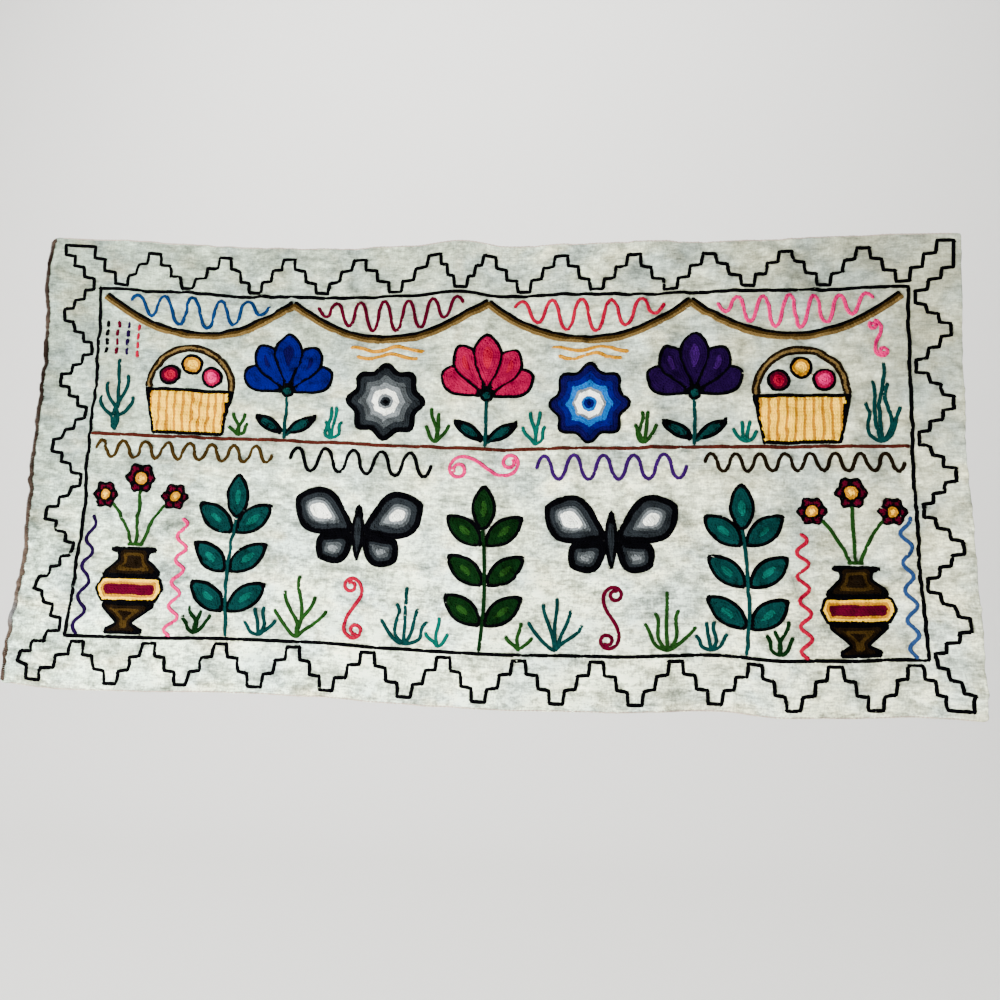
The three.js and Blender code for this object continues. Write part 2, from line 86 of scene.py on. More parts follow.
# How much red, green and blue each dyed yarn gives back
yarns = {
    "black": (0.0004, 0.0004, 0.0009),
    "charcoal": (0.0097, 0.0122, 0.0145),
    "grey": (0.042, 0.048, 0.051),
    "silver": (0.143, 0.160, 0.167),
    "white": (0.86, 0.88, 0.80),
    "cream": (0.90, 0.52, 0.012),
    "gold": (0.40, 0.165, 0.0015),
    "tan": (0.116, 0.072, 0.022),
    "umber": (0.030, 0.016, 0.003),
    "brown": (0.0055, 0.0029, 0.0010),
    "rust": (0.044, 0.0078, 0.0050),
    "teal": (0.0004, 0.023, 0.022),
    "jade": (0.0004, 0.062, 0.047),
    "green": (0.0013, 0.0117, 0.0020),
    "leaf": (0.0064, 0.0327, 0.0046),
    "navy": (0.0030, 0.0004, 0.036),
    "blue": (0.0004, 0.0004, 0.085),
    "petrol": (0.0020, 0.021, 0.080),
    "sky": (0.0004, 0.080, 0.30),
    "steel": (0.013, 0.036, 0.107),
    "purple": (0.0061, 0.0004, 0.021),
    "violet": (0.022, 0.0020, 0.062),
    "magenta": (0.22, 0.0004, 0.030),
    "pink": (0.52, 0.0015, 0.110),
    "rose": (0.27, 0.0004, 0.020),
    "crimson": (0.055, 0.0004, 0.008),
    # The hem thread's tan is partly painted shade along the turned edges
    "hem": (0.44, 0.36, 0.30),
    "whipDark": (0.0105, 0.0060, 0.0042),
    "whipLight": (0.092, 0.065, 0.049),
}


def even(start, end, count):
    return np.linspace(start, end, count + 1)


def pathLength(path):
    return float(np.hypot(*np.diff(path, axis=0).T).sum())


# Points along a path, no further apart than a step
def resampled(path, step, closed=False):
    points = np.asarray(path, dtype=float)
    if closed:
        points = np.vstack([points, points[:1]])
    lengths = np.hypot(*np.diff(points, axis=0).T)
    along = np.concatenate([[0.0], np.cumsum(lengths)])
    count = max(2, math.ceil(along[-1] / step))
    at = even(0.0, along[-1], count)
    out = np.stack([np.interp(at, along, points[:, k]) for k in (0, 1)], axis=1)
    return out[:-1] if closed else out


# The same, but with the corners between straight stretches kept sharp
def cornered(path, step, closed=False):
    points = np.asarray(path, dtype=float)
    if closed:
        points = np.vstack([points, points[:1]])
    ways = np.diff(points, axis=0)
    lengths = np.hypot(ways[:, 0], ways[:, 1])
    headings = ways / lengths[:, None]
    straight = (headings[:-1] * headings[1:]).sum(axis=1)
    isSharp = (straight < 0.8) & (np.minimum(lengths[:-1], lengths[1:]) > 2.5)
    stops = [0, *(np.flatnonzero(isSharp) + 1), len(points) - 1]
    out = []
    for start, end in zip(stops, stops[1:]):
        along = np.concatenate([[0.0], np.cumsum(lengths[start:end])])
        at = even(0.0, along[-1], max(1, round(along[-1] / step)))[:-1]
        out.append(np.stack([np.interp(at, along, points[start:end + 1, k]) for k in (0, 1)], axis=1))
    return np.vstack(out if closed else out + [points[-1:]])


# A path moved sideways, to the left of its own direction
def sideways(path, distance):
    points = np.asarray(path, dtype=float)
    ahead = np.gradient(points, axis=0)
    ahead /= np.hypot(ahead[:, 0], ahead[:, 1])[:, None]
    return points + distance * np.stack([-ahead[:, 1], ahead[:, 0]], axis=1)


# How deep each place lies inside an outline: negative outside it
def depthInside(outline, s, t):
    points = np.asarray(outline, dtype=float)
    nearest = np.full(s.shape, np.inf)
    inside = np.zeros(s.shape, dtype=bool)
    for (s0, t0), (s1, t1) in zip(points, np.roll(points, -1, axis=0)):
        ds, dt = s1 - s0, t1 - t0
        share = np.clip(((s - s0) * ds + (t - t0) * dt) / (ds * ds + dt * dt + 1e-12), 0.0, 1.0)
        nearest = np.minimum(nearest, np.hypot(s - s0 - share * ds, t - t0 - share * dt))
        if dt != 0:
            inside ^= ((t0 > t) != (t1 > t)) & (s < s0 + (t - t0) / dt * ds)
    return np.where(inside, nearest, -nearest)


# How fills are read from their outlines. Sliver rows are the short ones that fill what is left bare
fill = {
    "sample": 1.5, "margin": 3, "fewest": 5, "shortest": 1.6,
    "sliverDepth": 0.8, "sliverCells": 3, "sliverPast": 0.6, "sliverReach": 0.55,
}
# A row that loose lines are cut into has more points than this
fewestPoints = 6
# How wide the room is that stems and straight rows take, in fills and for loose lines
stemRoom = 2.4
looseRoom = 4.0

# Which sides of a cell a contour joins, by which of its corners lie above the level
cellLinks = {
    1: [(3, 0)], 2: [(0, 1)], 3: [(3, 1)], 4: [(1, 2)], 5: [(3, 2), (0, 1)], 6: [(0, 2)], 7: [(3, 2)],
    8: [(2, 3)], 9: [(0, 2)], 10: [(0, 3), (1, 2)], 11: [(1, 2)], 12: [(1, 3)], 13: [(0, 1)],
    14: [(0, 3)],
}


# Closed lines where a field on a grid crosses a level
def contourLines(field, level, s0, t0, cell):
    above = field > level
    code = above[:-1, :-1] * 1 + above[:-1, 1:] * 2 + above[1:, 1:] * 4 + above[1:, :-1] * 8
    links = {}
    for i, j in np.argwhere((code > 0) & (code < 15)):
        sides = [(i, j, 0), (i, j + 1, 1), (i + 1, j, 0), (i, j, 1)]
        for a, b in cellLinks[int(code[i, j])]:
            links.setdefault(sides[a], []).append(sides[b])
            links.setdefault(sides[b], []).append(sides[a])

    def crossing(key):
        i, j, upright = key
        i2, j2 = (i + 1, j) if upright else (i, j + 1)
        share = (level - field[i, j]) / (field[i2, j2] - field[i, j])
        return (s0 + cell * (j + share * (j2 - j)), t0 + cell * (i + share * (i2 - i)))

    loops = []
    while links:
        first = next(iter(links))
        loop = [first]
        onward = links.pop(first)
        at = onward[0]
        while at in links:
            loop.append(at)
            onward = [key for key in links.pop(at) if key in links]
            if not onward:
                break
            at = onward[0]
        loops.append(np.array([crossing(key) for key in loop]))
    return loops


# A grid over an outline, with how deep each of its places lies in the shape. Shapes above it are
# taken out, and shapes that hold it cut it off
def shapeField(outline, above=(), within=(), overlap=0.0):
    points = np.asarray(outline, dtype=float)
    cell = stitch["cell"]
    low = points.min(axis=0) - fill["margin"] * cell
    high = points.max(axis=0) + fill["margin"] * cell
    s, t = np.meshgrid(np.arange(low[0], high[0], cell), np.arange(low[1], high[1], cell))
    field = depthInside(points, s, t)
    for other in above:
        field = np.minimum(field, overlap - depthInside(other, s, t))
    for other in within:
        field = np.minimum(field, depthInside(other, s, t))
    return field, s, t


# Short rows for the slivers that longer rows leave bare, each along its sliver
def sliverRows(rows, field, s, t):
    spots = [resampled(row[0], fill["sample"], row[1]) for row in rows]
    places = np.vstack(spots)
    names = sum(([row[2]] * len(some) for row, some in zip(rows, spots)), [])
    bare = field > stitch["outline"] * fill["sliverDepth"]
    at = np.argwhere(bare)
    if not len(at):
        return []
    cells = np.stack([s[bare], t[bare]], axis=1)
    apart = np.hypot(cells[:, None, 0] - places[None, :, 0], cells[:, None, 1] - places[None, :, 1])
    nearest = apart.min(axis=1)
    unfilled = {tuple(at[k]): k for k in np.flatnonzero(nearest > stitch["bare"])}
    short = []
    while unfilled:
        start, k = unfilled.popitem()
        group = [k]
        todo = [start]
        while todo:
            i, j = todo.pop()
            for di in (-1, 0, 1):
                for dj in (-1, 0, 1):
                    k = unfilled.pop((i + di, j + dj), None)
                    if k is not None:
                        group.append(k)
                        todo.append((i + di, j + dj))
        if len(group) < fill["sliverCells"]:
            continue
        spots = cells[group]
        centre = spots.mean(axis=0)
        ways = np.linalg.svd(spots - centre, full_matrices=False)[2]
        reach = np.abs((spots - centre) @ ways[0]).max() + fill["sliverPast"]
        reach = max(reach, stitch["pitch"] * fill["sliverReach"])
        name = names[int(apart[group[0]].argmin())]
        short.append((np.array([centre - reach * ways[0], centre + reach * ways[0]]), False, name))
    return short


# Rows that follow an outline inwards, in the order of its yarns: the last yarn fills the heart. The
# inner ones lie on a wider core, so that no cloth shows between them
def filledRows(outline, order, above=(), within=(), overlap=0.0):
    field, s, t = shapeField(outline, above, within, overlap)
    deepest = float(field.max())
    count = max(1, round((deepest - stitch["outline"]) / stitch["rowGap"] + 0.5))
    gap = (deepest - stitch["outline"]) / (count - 0.5)
    rows = []
    for k in range(count):
        name = order[min(k, len(order) - 1)]
        level = stitch["outline"] + gap * k
        for loop in contourLines(field, level, s[0, 0], t[0, 0], stitch["cell"]):
            length = pathLength(np.vstack([loop, loop[:1]]))
            if len(loop) > fill["fewest"] and length > fill["shortest"] * stitch["pitch"]:
                rows.append((loop, True, name, stitch["innerCore"] if k else 1.0))
    return rows + sliverRows(rows, field, s, t)


# The stretches of a path that keep a gap to every shape
def clearStretches(path, shapes, gap):
    points = resampled(path, fill["sample"])
    free = np.ones(len(points), dtype=bool)
    for outline in shapes:
        low = outline.min(axis=0) - gap
        high = outline.max(axis=0) + gap
        near = ((points > low) & (points < high)).all(axis=1)
        if near.any():
            free[near] &= depthInside(outline, points[near, 0], points[near, 1]) < -gap
    stretches = []
    start = None
    for i, isFree in enumerate(np.append(free, False)):
        if isFree and start is None:
            start = i
        if not isFree and start is not None:
            if i - start > fewestPoints:
                stretches.append(points[start:i])
            start = None
    return stretches


# Outlines of single forms

def blade(base, angle, length, width, fullness=1.0, steps=18):
    turn = math.radians(angle)
    u = even(0.0, 1.0, steps)
    half = width / 2 * np.sin(np.pi * u**fullness) ** 0.8
    along = np.concatenate([u, u[-2:0:-1]]) * length
    across = np.concatenate([-half, half[-2:0:-1]])
    s = base[0] + along * math.cos(turn) - across * math.sin(turn)
    t = base[1] + along * math.sin(turn) + across * math.cos(turn)
    return np.stack([s, t], axis=1)


def rosette(centre, radius, count=0, depth=0.0, points=72):
    a = even(0.0, 2 * np.pi, points)[:-1]
    r = radius * (1 + depth * np.cos(count * a))
    return np.stack([centre[0] + r * np.cos(a), centre[1] + r * np.sin(a)], axis=1)


def ribbon(path, width):
    return np.vstack([sideways(path, width / 2), sideways(path, -width / 2)[::-1]])


# Border: one zigzag row that climbs to each peak and falls again in three steps, with stepped arms
border = {
    "lean": 1.8, "slope": 1.8, "peak": 15.0, "valley": 15.0,
    "sides": {
        "top": {
            "peaks": [-433, -338, -253, -162, -66, 4, 94, 184, 276, 368, 460], "valley": 6.0, "reach": 51.0,
        },
        "right": {"peaks": [-121, -210, -295, -380, -468], "valley": 8.0, "reach": 49.0},
        "bottom": {
            "peaks": [455, 366, 278, 188, 98, 8, -79, -172, -260, -351, -437], "valley": 6.5, "reach": 55.0,
        },
        "left": {"peaks": [-451, -365, -279, -193, -106], "valley": 9.0, "reach": 48.0},
    },
    "arms": {
        "topRight": {
            "from": (514, -60), "tip": [(547, -9), (566, -9), (566, -43)], "to": (521, -73), "moves": (5, 5),
        },
        "bottomRight": {
            "from": (521, -517), "tip": [(562, -546), (561, -564), (533, -564)],
            "to": (506, -516.5), "moves": (5, 5),
        },
        "bottomLeft": {
            "from": (-492, -516.5), "tip": [(-527, -565), (-543, -565), (-543, -550), (-557, -546)],
            "to": (-511, -505), "moves": (5, 6),
        },
        "topLeft": {
            "from": (-511, -54), "tip": [(-556, -10), (-516, -10)], "to": (-482, -60), "moves": (6, 5),
        },
    },
}


# The corners of a flight of stairs after its first point
def stair(start, end, moves, levelFirst):
    total = (end[0] - start[0], end[1] - start[1])
    levels = math.ceil(moves / 2) if levelFirst else moves // 2
    uprights = moves - levels
    leaning = math.copysign(border["lean"], total[0])
    sloping = math.copysign(border["slope"], total[1])
    level = ((total[0] - uprights * leaning) / levels, sloping)
    upright = (leaning, (total[1] - levels * sloping) / uprights)
    path = []
    at = start
    for k in range(moves):
        move = level if (k % 2 == 0) == levelFirst else upright
        at = (at[0] + move[0], at[1] + move[1])
        path.append(at)
    return path


def sidePath(name, start, end):
    side = border["sides"][name]
    upright = name in ("left", "right")
    outward = -1 if name in ("left", "bottom") else 1
    peaks = side["peaks"]
    ahead = 1 if peaks[1] > peaks[0] else -1

    def at(along, out):
        place = (lines[name] + outward * out, along)
        return place if upright else (place[1], place[0])

    half = border["peak"] / 2
    foot = at((start[1] if upright else start[0]) + ahead * border["valley"], side["valley"])
    path = [start, foot]
    for k, peak in enumerate(peaks):
        path += stair(foot, at(peak - ahead * half, side["reach"]), 5, upright)
        last = k == len(peaks) - 1
        if last:
            valleyStart = (end[1] if upright else end[0]) - ahead * border["valley"]
        else:
            valleyStart = (peak + peaks[k + 1]) / 2 - ahead * border["valley"] / 2
        fall = at(peak + ahead * half, side["reach"])
        path += [fall] + stair(fall, at(valleyStart, side["valley"]), 5, upright)
        foot = at(valleyStart + ahead * border["valley"], side["valley"])
        if not last:
            path.append(foot)
    return path


def armPath(name, levelOut, levelBack):
    arm = border["arms"][name]
    out = stair(arm["from"], arm["tip"][0], arm["moves"][0], levelOut)
    back = stair(arm["tip"][-1], arm["to"], arm["moves"][1], levelBack)
    return [arm["from"]] + out + arm["tip"][1:] + back[:-1]


def borderRows():
    arms = border["arms"]
    path = []
    for side, start, end, levelOut, levelBack in (
        ("top", "topLeft", "topRight", False, True),
        ("right", "topRight", "bottomRight", True, False),
        ("bottom", "bottomRight", "bottomLeft", False, False),
        ("left", "bottomLeft", "topLeft", True, False),
    ):
        path += sidePath(side, arms[start]["to"], arms[end]["from"])
        path += armPath(end, levelOut, levelBack)
    return [(np.array(path), True, "black")]


def frameRows():
    corners = [(lines["left"], lines["top"]), (lines["right"], lines["top"])]
    corners += [(lines["right"], lines["bottom"]), (lines["left"], lines["bottom"])]
    return [(np.array(corners), True, "black")]


def groundRows():
    ends = [(lines["left"] + clear, lines["ground"]), (lines["right"] - clear, lines["ground"])]
    return [(np.array(ends), False, "rust")]


# Four swags under the frame's top line, in three rows that lighten downwards
swag = {"count": 4, "drop": 48.0, "width": 11.0, "topClear": 10.0, "yarns": ["black", "umber", "tan"]}


swagStart = lines["left"] + clear + swag["width"] / 2
swagSpan = (lines["right"] - clear - swag["width"] / 2 - swagStart) / swag["count"]


def swagDrop(u):
    return lines["top"] - swag["topClear"] - swag["drop"] * 4 * u * (1 - u)


def swagPath(k, points=40):
    u = even(0.0, 1.0, points)
    return np.stack([swagStart + swagSpan * (k + u), swagDrop(u)], axis=1)


def garlandRows():
    rows = []
    for k in range(swag["count"]):
        for j, name in enumerate(swag["yarns"]):
            rows.append((sideways(swagPath(k), stitch["rowGap"] * (1 - j)), False, name))
    return rows


# A leafy branch with pairs of leaves and one at its tip
sprig = {
    "height": 205.0, "pairs": 3, "spread": 38.0, "leafLength": 60.0, "leafWidth": 30.0,
    "branches": {
        "left": {"at": middle - 308, "bend": -5.0, "yarn": "teal", "light": "jade"},
        "middle": {"at": middle, "bend": 4.0, "yarn": "green", "light": "leaf"},
        "right": {"at": middle + 308, "bend": 5.0, "yarn": "teal", "light": "jade"},
    },
}


def branchShapes(side):
    one = sprig["branches"][side]
    top = sprig["height"] - sprig["leafLength"]

    def stemAt(u):
        return (one["at"] + one["bend"] * math.sin(math.pi * u), lowerBase + top * u)

    leaves = []
    for k in range(sprig["pairs"]):
        foot = stemAt((k + 0.6) / sprig["pairs"])
        for angle in (sprig["spread"], 180 - sprig["spread"]):
            leaves.append(blade(foot, angle, sprig["leafLength"], sprig["leafWidth"]))
    leaves.append(blade(stemAt(0.98), 90, sprig["leafLength"], sprig["leafWidth"]))
    stem = np.array([stemAt(u) for u in even(0.0, 1.0, 12)])
    return stem, leaves


def branchRows(side):
    one = sprig["branches"][side]
    stem, leaves = branchShapes(side)
    rows = [(stem, False, one["yarn"])]
    above = [ribbon(stem, stemRoom)]
    for leaf in leaves:
        rows += filledRows(leaf, ["black", one["yarn"], one["yarn"], one["light"]], above)
        above.append(leaf)
    return rows


# Urns with a posy of three blooms
urn = {
    "height": 104.0, "band": (0.36, 0.66), "at": {"left": middle - 435, "right": middle + 435},
    "profile": [
        (0.0, 24), (0.07, 24), (0.13, 11), (0.3, 32), (0.52, 44), (0.72, 35), (0.86, 19), (0.93, 20),
        (0.94, 29), (1.0, 29),
    ],
}
# Each stem of the posy: how far it reaches aside, how far it rises, and how wide its bloom is
posy = {
    "mouth": 9.0, "spread": 0.14, "stems": [(-46, 60, 16), (0, 82, 18), (46, 60, 16)],
    "petals": 6, "depth": 0.12, "heart": 0.42,
}


def urnOutline(side):
    at = urn["at"][side]
    right = [(at + half, lowerBase + level * urn["height"]) for level, half in urn["profile"]]
    left = [(2 * at - s, t) for s, t in reversed(right)]
    return np.array(right + left)


def urnRows(side):
    at = urn["at"][side]
    outline = urnOutline(side)
    low, high = (lowerBase + share * urn["height"] for share in urn["band"])
    far = 100.0
    band = [(at - far, low), (at + far, low), (at + far, high), (at - far, high)]
    return filledRows(outline, ["black", "brown", "umber", "brown"], above=[band]) + filledRows(
        outline, ["black", "cream", "gold", "crimson"], within=[band]
    )


def posyShapes(side):
    at = urn["at"][side]
    base = lowerBase + urn["height"] + clear
    stems = []
    blooms = []
    for reach, rise, bloom in posy["stems"]:
        foot = np.array([at + reach * posy["spread"], base])
        head = np.array([at + reach, base + rise])
        bend = np.array([foot[0] + 0.3 * (head[0] - foot[0]), base + 0.6 * rise])
        u = even(0.0, 1.0, 12)[:, None]
        stems.append((1 - u) ** 2 * foot + 2 * u * (1 - u) * bend + u * u * head)
        blooms.append((head, bloom, rosette(head, bloom, posy["petals"], posy["depth"])))
    return base, stems, blooms


def posyRows(side):
    at = urn["at"][side]
    base, stems, blooms = posyShapes(side)
    rows = [(np.array([(at - posy["mouth"], base), (at + posy["mouth"], base)]), False, "leaf")]
    outlines = [outline for head, bloom, outline in blooms]
    for path in stems:
        rows += [(part, False, "leaf") for part in clearStretches(path, outlines, 0.0)]
    for head, bloom, outline in blooms:
        heart = rosette(head, bloom * posy["heart"])
        rows += filledRows(outline, ["black", "crimson", "rose"], above=[heart])
        rows += filledRows(heart, ["gold", "cream"])
    return rows


# Butterflies: pale-hearted wings and a dark body
butterfly = {
    "base": -372.0, "at": {"left": middle - 154, "right": middle + 154},
    "body": {"below": 40.0, "length": 78.0, "width": 15.0},
    "wings": [
        {"angle": 28.0, "rise": -2.0, "length": 90.0, "width": 58.0},
        {"angle": -38.0, "rise": 4.0, "length": 62.0, "width": 44.0},
    ],
}


def butterflyShapes(side):
    at = butterfly["at"][side]
    base = butterfly["base"]
    body = butterfly["body"]
    shapes = [blade((at, base - body["below"]), 90, body["length"], body["width"], 1.1)]
    for wing in butterfly["wings"]:
        for way in (wing["angle"], 180 - wing["angle"]):
            shapes.append(blade((at, base + wing["rise"]), way, wing["length"], wing["width"], 1.5))
    return shapes


def butterflyRows(side):
    shapes = butterflyShapes(side)
    orders = [["black", "charcoal"]]
    orders += 2 * [["black", "black", "charcoal", "charcoal", "grey", "silver", "white"]]
    orders += 2 * [["black", "black", "charcoal", "grey", "silver", "white"]]
    rows = []
    for k, (shape, order) in enumerate(zip(shapes, orders)):
        rows += filledRows(shape, order, above=shapes[:k])
    return rows


# Fan blossoms: petals from one foot, the middle one on top, with a stalk and a pair of leaves
blossom = {
    "base": lines["ground"] + 62, "petals": 5, "spread": 30.0, "length": 84.0, "width": 38.0, "fall": 0.1,
    "cup": 8.5, "cupRise": 4.5,
    "at": {"blue": middle - 254, "magenta": middle, "purple": middle + 254},
    "yarns": {
        "blue": ["black", "blue", "blue", "blue", "navy"],
        "magenta": ["black", "magenta", "magenta", "magenta", "rose"],
        "purple": ["black", "purple", "purple", "purple", "violet"],
    },
}
stalkLeaf = {"rise": 6.0, "spread": 30.0, "length": 48.0, "width": 17.0}


def petalShapes(name):
    at = blossom["at"][name]
    half = (blossom["petals"] - 1) // 2
    shapes = []
    for k in sorted(range(-half, half + 1), key=abs):
        length = blossom["length"] * (1 - blossom["fall"] * abs(k))
        angle = 90 - k * blossom["spread"]
        shapes.append(blade((at, blossom["base"]), angle, length, blossom["width"], 1.7))
    return shapes


def cupShape(name):
    return rosette((blossom["at"][name], blossom["base"] + blossom["cupRise"]), blossom["cup"])


# Neighbouring petals share one dark line
def blossomRows(name):
    shapes = petalShapes(name)
    rows = []
    for k, shape in enumerate(shapes):
        above = [cupShape(name)] + shapes[:k]
        rows += filledRows(shape, blossom["yarns"][name], above, overlap=2 * stitch["outline"])
    return rows


def stalkShapes(name):
    at = blossom["at"][name]
    stem = np.array([(at, upperBase), (at, blossom["base"] - clear)])
    leaves = []
    for angle in (stalkLeaf["spread"], 180 - stalkLeaf["spread"]):
        foot = (at, upperBase + stalkLeaf["rise"])
        leaves.append(blade(foot, angle, stalkLeaf["length"], stalkLeaf["width"]))
    return stem, leaves


def stalkRows(name):
    stem, leaves = stalkShapes(name)
    rows = [(stem, False, "teal")]
    for leaf in leaves:
        rows += filledRows(leaf, ["black", "teal", "jade"], above=[ribbon(resampled(stem, 8.0), stemRoom)])
    return rows + filledRows(cupShape(name), ["black", "teal"])


# Lobed medallions that pale towards their hearts
medallion = {
    "radius": 46.0, "count": 8, "depth": 0.1,
    "centre": {"left": (middle - 127, -206.0), "right": (middle + 127, -206.0)},
    "yarns": {
        "left": [
            "black", "black", "charcoal", "charcoal", "grey", "grey", "silver", "silver", "white", "white",
            "silver", "charcoal", "black",
        ],
        "right": [
            "black", "navy", "navy", "blue", "blue", "sky", "sky", "silver", "white", "white", "sky", "blue",
            "navy",
        ],
    },
}


def medallionOutline(side):
    return rosette(medallion["centre"][side], medallion["radius"], medallion["count"], medallion["depth"])


def medallionRows(side):
    return filledRows(medallionOutline(side), medallion["yarns"][side])


# Baskets of upright rows, with a banded handle and three fruits
basket = {
    "top": 116.0, "bottom": 92.0, "height": 60.0, "band": 9.0, "arch": 112.0, "rowGap": 3.5,
    "at": {"left": middle - 381, "right": middle + 381}, "yarns": ["cream", "gold", "cream"],
    "handle": ["brown", "tan", "brown"], "handleFoot": 2.4,
    "handleGap": 2.9,
}
basketRim = upperBase + basket["height"] + clear
fruit = {
    "radius": 14.0,
    "places": {"first": (-27, 14), "second": (0, 30), "third": (27, 14)},
    "yarns": {
        "first": ["black", "crimson", "rose"],
        "second": ["black", "gold", "cream"],
        "third": ["black", "magenta", "pink"],
    },
}


def basketOutline(side):
    at = basket["at"][side]
    foot = basket["bottom"] / 2
    rim = basket["top"] / 2
    top = upperBase + basket["height"]
    return np.array([(at - foot, upperBase), (at + foot, upperBase), (at + rim, top), (at - rim, top)])


def basketRows(side):
    at = basket["at"][side]
    outline = basketOutline(side)
    edge = stitch["outline"]
    inner = edge + stitch["rowGap"]
    low = upperBase + edge
    high = upperBase + basket["height"] - edge
    flare = (basket["top"] - basket["bottom"]) / 2 / basket["height"]
    foot = basket["bottom"] / 2 - edge
    rim = basket["top"] / 2 - edge
    ring = [(at - foot, low), (at + foot, low), (at + rim, high), (at - rim, high)]
    rows = [(np.array(ring), True, "black")]
    reach = basket["top"] / 2 - inner
    count = round(2 * reach / basket["rowGap"])
    for k, across in enumerate(even(-reach, reach, count)):
        start = low + stitch["rowGap"]
        past = abs(across) - (basket["bottom"] / 2 - inner)
        if past > 0:
            start += past / flare - stitch["rowGap"]
        end = high - stitch["rowGap"]
        if end - start > stitch["pitch"] * 1.5:
            name = basket["yarns"][k % len(basket["yarns"])]
            rows.append((np.array([(at + across, start), (at + across, end)]), False, name))
    return rows + sliverRows(rows, *shapeField(outline))


def handlePath(side):
    at = basket["at"][side]
    half = (basket["top"] - basket["band"]) / 2
    a = even(0.0, math.pi, 40)
    rise = basket["arch"] - basket["height"]
    return np.stack([at - half * np.cos(a), basketRim + rise * np.sin(a)], axis=1)


def handleRows(side):
    path = handlePath(side)
    foot = np.array([0.0, basket["handleFoot"]])
    path = np.vstack([path[:1] - foot, path, path[-1:] - foot])
    rows = []
    for j, name in enumerate(basket["handle"]):
        rows.append((sideways(path, basket["handleGap"] * (j - 1)), False, name))
    return rows


def fruitOutline(place, side):
    across, rise = fruit["places"][place]
    return rosette((basket["at"][side] + across, basketRim + rise), fruit["radius"])


def fruitRows(place, side):
    return filledRows(fruitOutline(place, side), fruit["yarns"][place])


# Every worked motif: its rows, its outlines that loose lines keep clear of, and its finish
motifs = {}


def addMotif(node, rows, shapes, finish):
    motifs[node] = {"rows": rows, "shapes": shapes, "finish": finish}


addMotif("step_border", borderRows(), [], "black_yarn")
addMotif("frame_line", frameRows(), [], "black_yarn")
addMotif("ground_line", groundRows(), [], "rust_yarn")
swags = [ribbon(swagPath(k), swag["width"]) for k in range(swag["count"])]
addMotif("garland", garlandRows(), swags, "umber_yarn")
for side in sprig["branches"]:
    stem, leaves = branchShapes(side)
    finish = "green_yarn" if side == "middle" else "teal_yarn"
    addMotif("branch_" + side, branchRows(side), [ribbon(stem, looseRoom)] + leaves, finish)
for side in ("left", "right"):
    addMotif("urn_" + side, urnRows(side), [urnOutline(side)], "brown_yarn")
    base, stems, blooms = posyShapes(side)
    shapes = [ribbon(path, looseRoom) for path in stems] + [outline for head, bloom, outline in blooms]
    addMotif("posy_" + side, posyRows(side), shapes, "crimson_yarn")
    addMotif("butterfly_" + side, butterflyRows(side), butterflyShapes(side), "grey_yarn")
for name in blossom["at"]:
    addMotif("blossom_" + name, blossomRows(name), petalShapes(name), name + "_yarn")
    stem, leaves = stalkShapes(name)
    shapes = [ribbon(resampled(stem, 8.0), looseRoom)] + leaves
    addMotif("stalk_" + name, stalkRows(name), shapes, "teal_yarn")
for side, finish in (("left", "silver_yarn"), ("right", "sky_yarn")):
    addMotif("medallion_" + side, medallionRows(side), [medallionOutline(side)], finish)
for side in basket["at"]:
    addMotif("basket_" + side, basketRows(side), [basketOutline(side)], "cream_yarn")
    addMotif("handle_" + side, handleRows(side), [ribbon(handlePath(side), basket["band"])], "brown_yarn")
    for place, finish in (("first", "crimson_yarn"), ("second", "orange_yarn"), ("third", "magenta_yarn")):
        node = "fruit_" + place + "_" + side
        addMotif(node, fruitRows(place, side), [fruitOutline(place, side)], finish)


# Loose lines between the motifs

# A stem that tightens evenly into a spiral at each end, like a long S
def scroll(centre, size, angle, turns=1.45, flip=1):
    u = even(-1.0, 1.0, 160)
    heading = 2 * math.pi * turns * u**2 + math.radians(angle)
    way = np.stack([np.cos(heading), flip * np.sin(heading)], axis=1)
    path = np.cumsum(way, axis=0)
    path -= path.mean(axis=0)
    return path * size / np.ptp(path, axis=0).max() + np.asarray(centre, dtype=float)


# Grass: bent blades from one foot
def spray(foot, height, reach, count, seed):
    dice = np.random.default_rng(seed)
    paths = []
    for k in range(count):
        side = 2 * k / (count - 1) - 1
        tall = height * (1 - 0.55 * abs(side)) * dice.uniform(0.86, 1.08)
        out = reach * side * dice.uniform(0.85, 1.1)
        sway = height * 0.09 * dice.uniform(-1.0, 1.0)
        u = even(0.0, 1.0, 22)
        s = foot[0] + out * u**0.8 + sway * np.sin(np.pi * 1.7 * u)
        t = foot[1] + tall * u ** (0.8 + 0.5 * abs(side))
        paths.append(np.stack([s, t], axis=1))
    return paths


# Rows that wave between two lines over a stretch of the cloth
def waveBetween(start, end, waves, upperAt, lowerAt, phase=0.0):
    u = even(0.0, 1.0, waves * 26)
    s = start + (end - start) * u
    upper = np.array([upperAt(x) for x in s])
    lower = np.array([lowerAt(x) for x in s])
    swing = np.sin(2 * np.pi * waves * u + phase)
    swing = np.sign(swing) * np.abs(swing) ** 0.7
    return np.stack([s, (upper + lower) / 2 + swing * (upper - lower) / 2], axis=1)


def swagLevel(s):
    return swagDrop(((s - swagStart) / swagSpan) % 1.0)


looseGap = 3.4  # what a loose line keeps to the motifs
loose = {}


def addLoose(name, finish, paths, yarn):
    kept = []
    for path in paths:
        kept += [(part, False, yarn) for part in clearStretches(path, motifShapes, looseGap)]
    loose.setdefault(name, {"rows": [], "finish": finish})["rows"] += kept


motifShapes = [shape for one in motifs.values() for shape in one["shapes"]]
motifShapes.append(ribbon(resampled(groundRows()[0][0], 40.0), looseRoom))

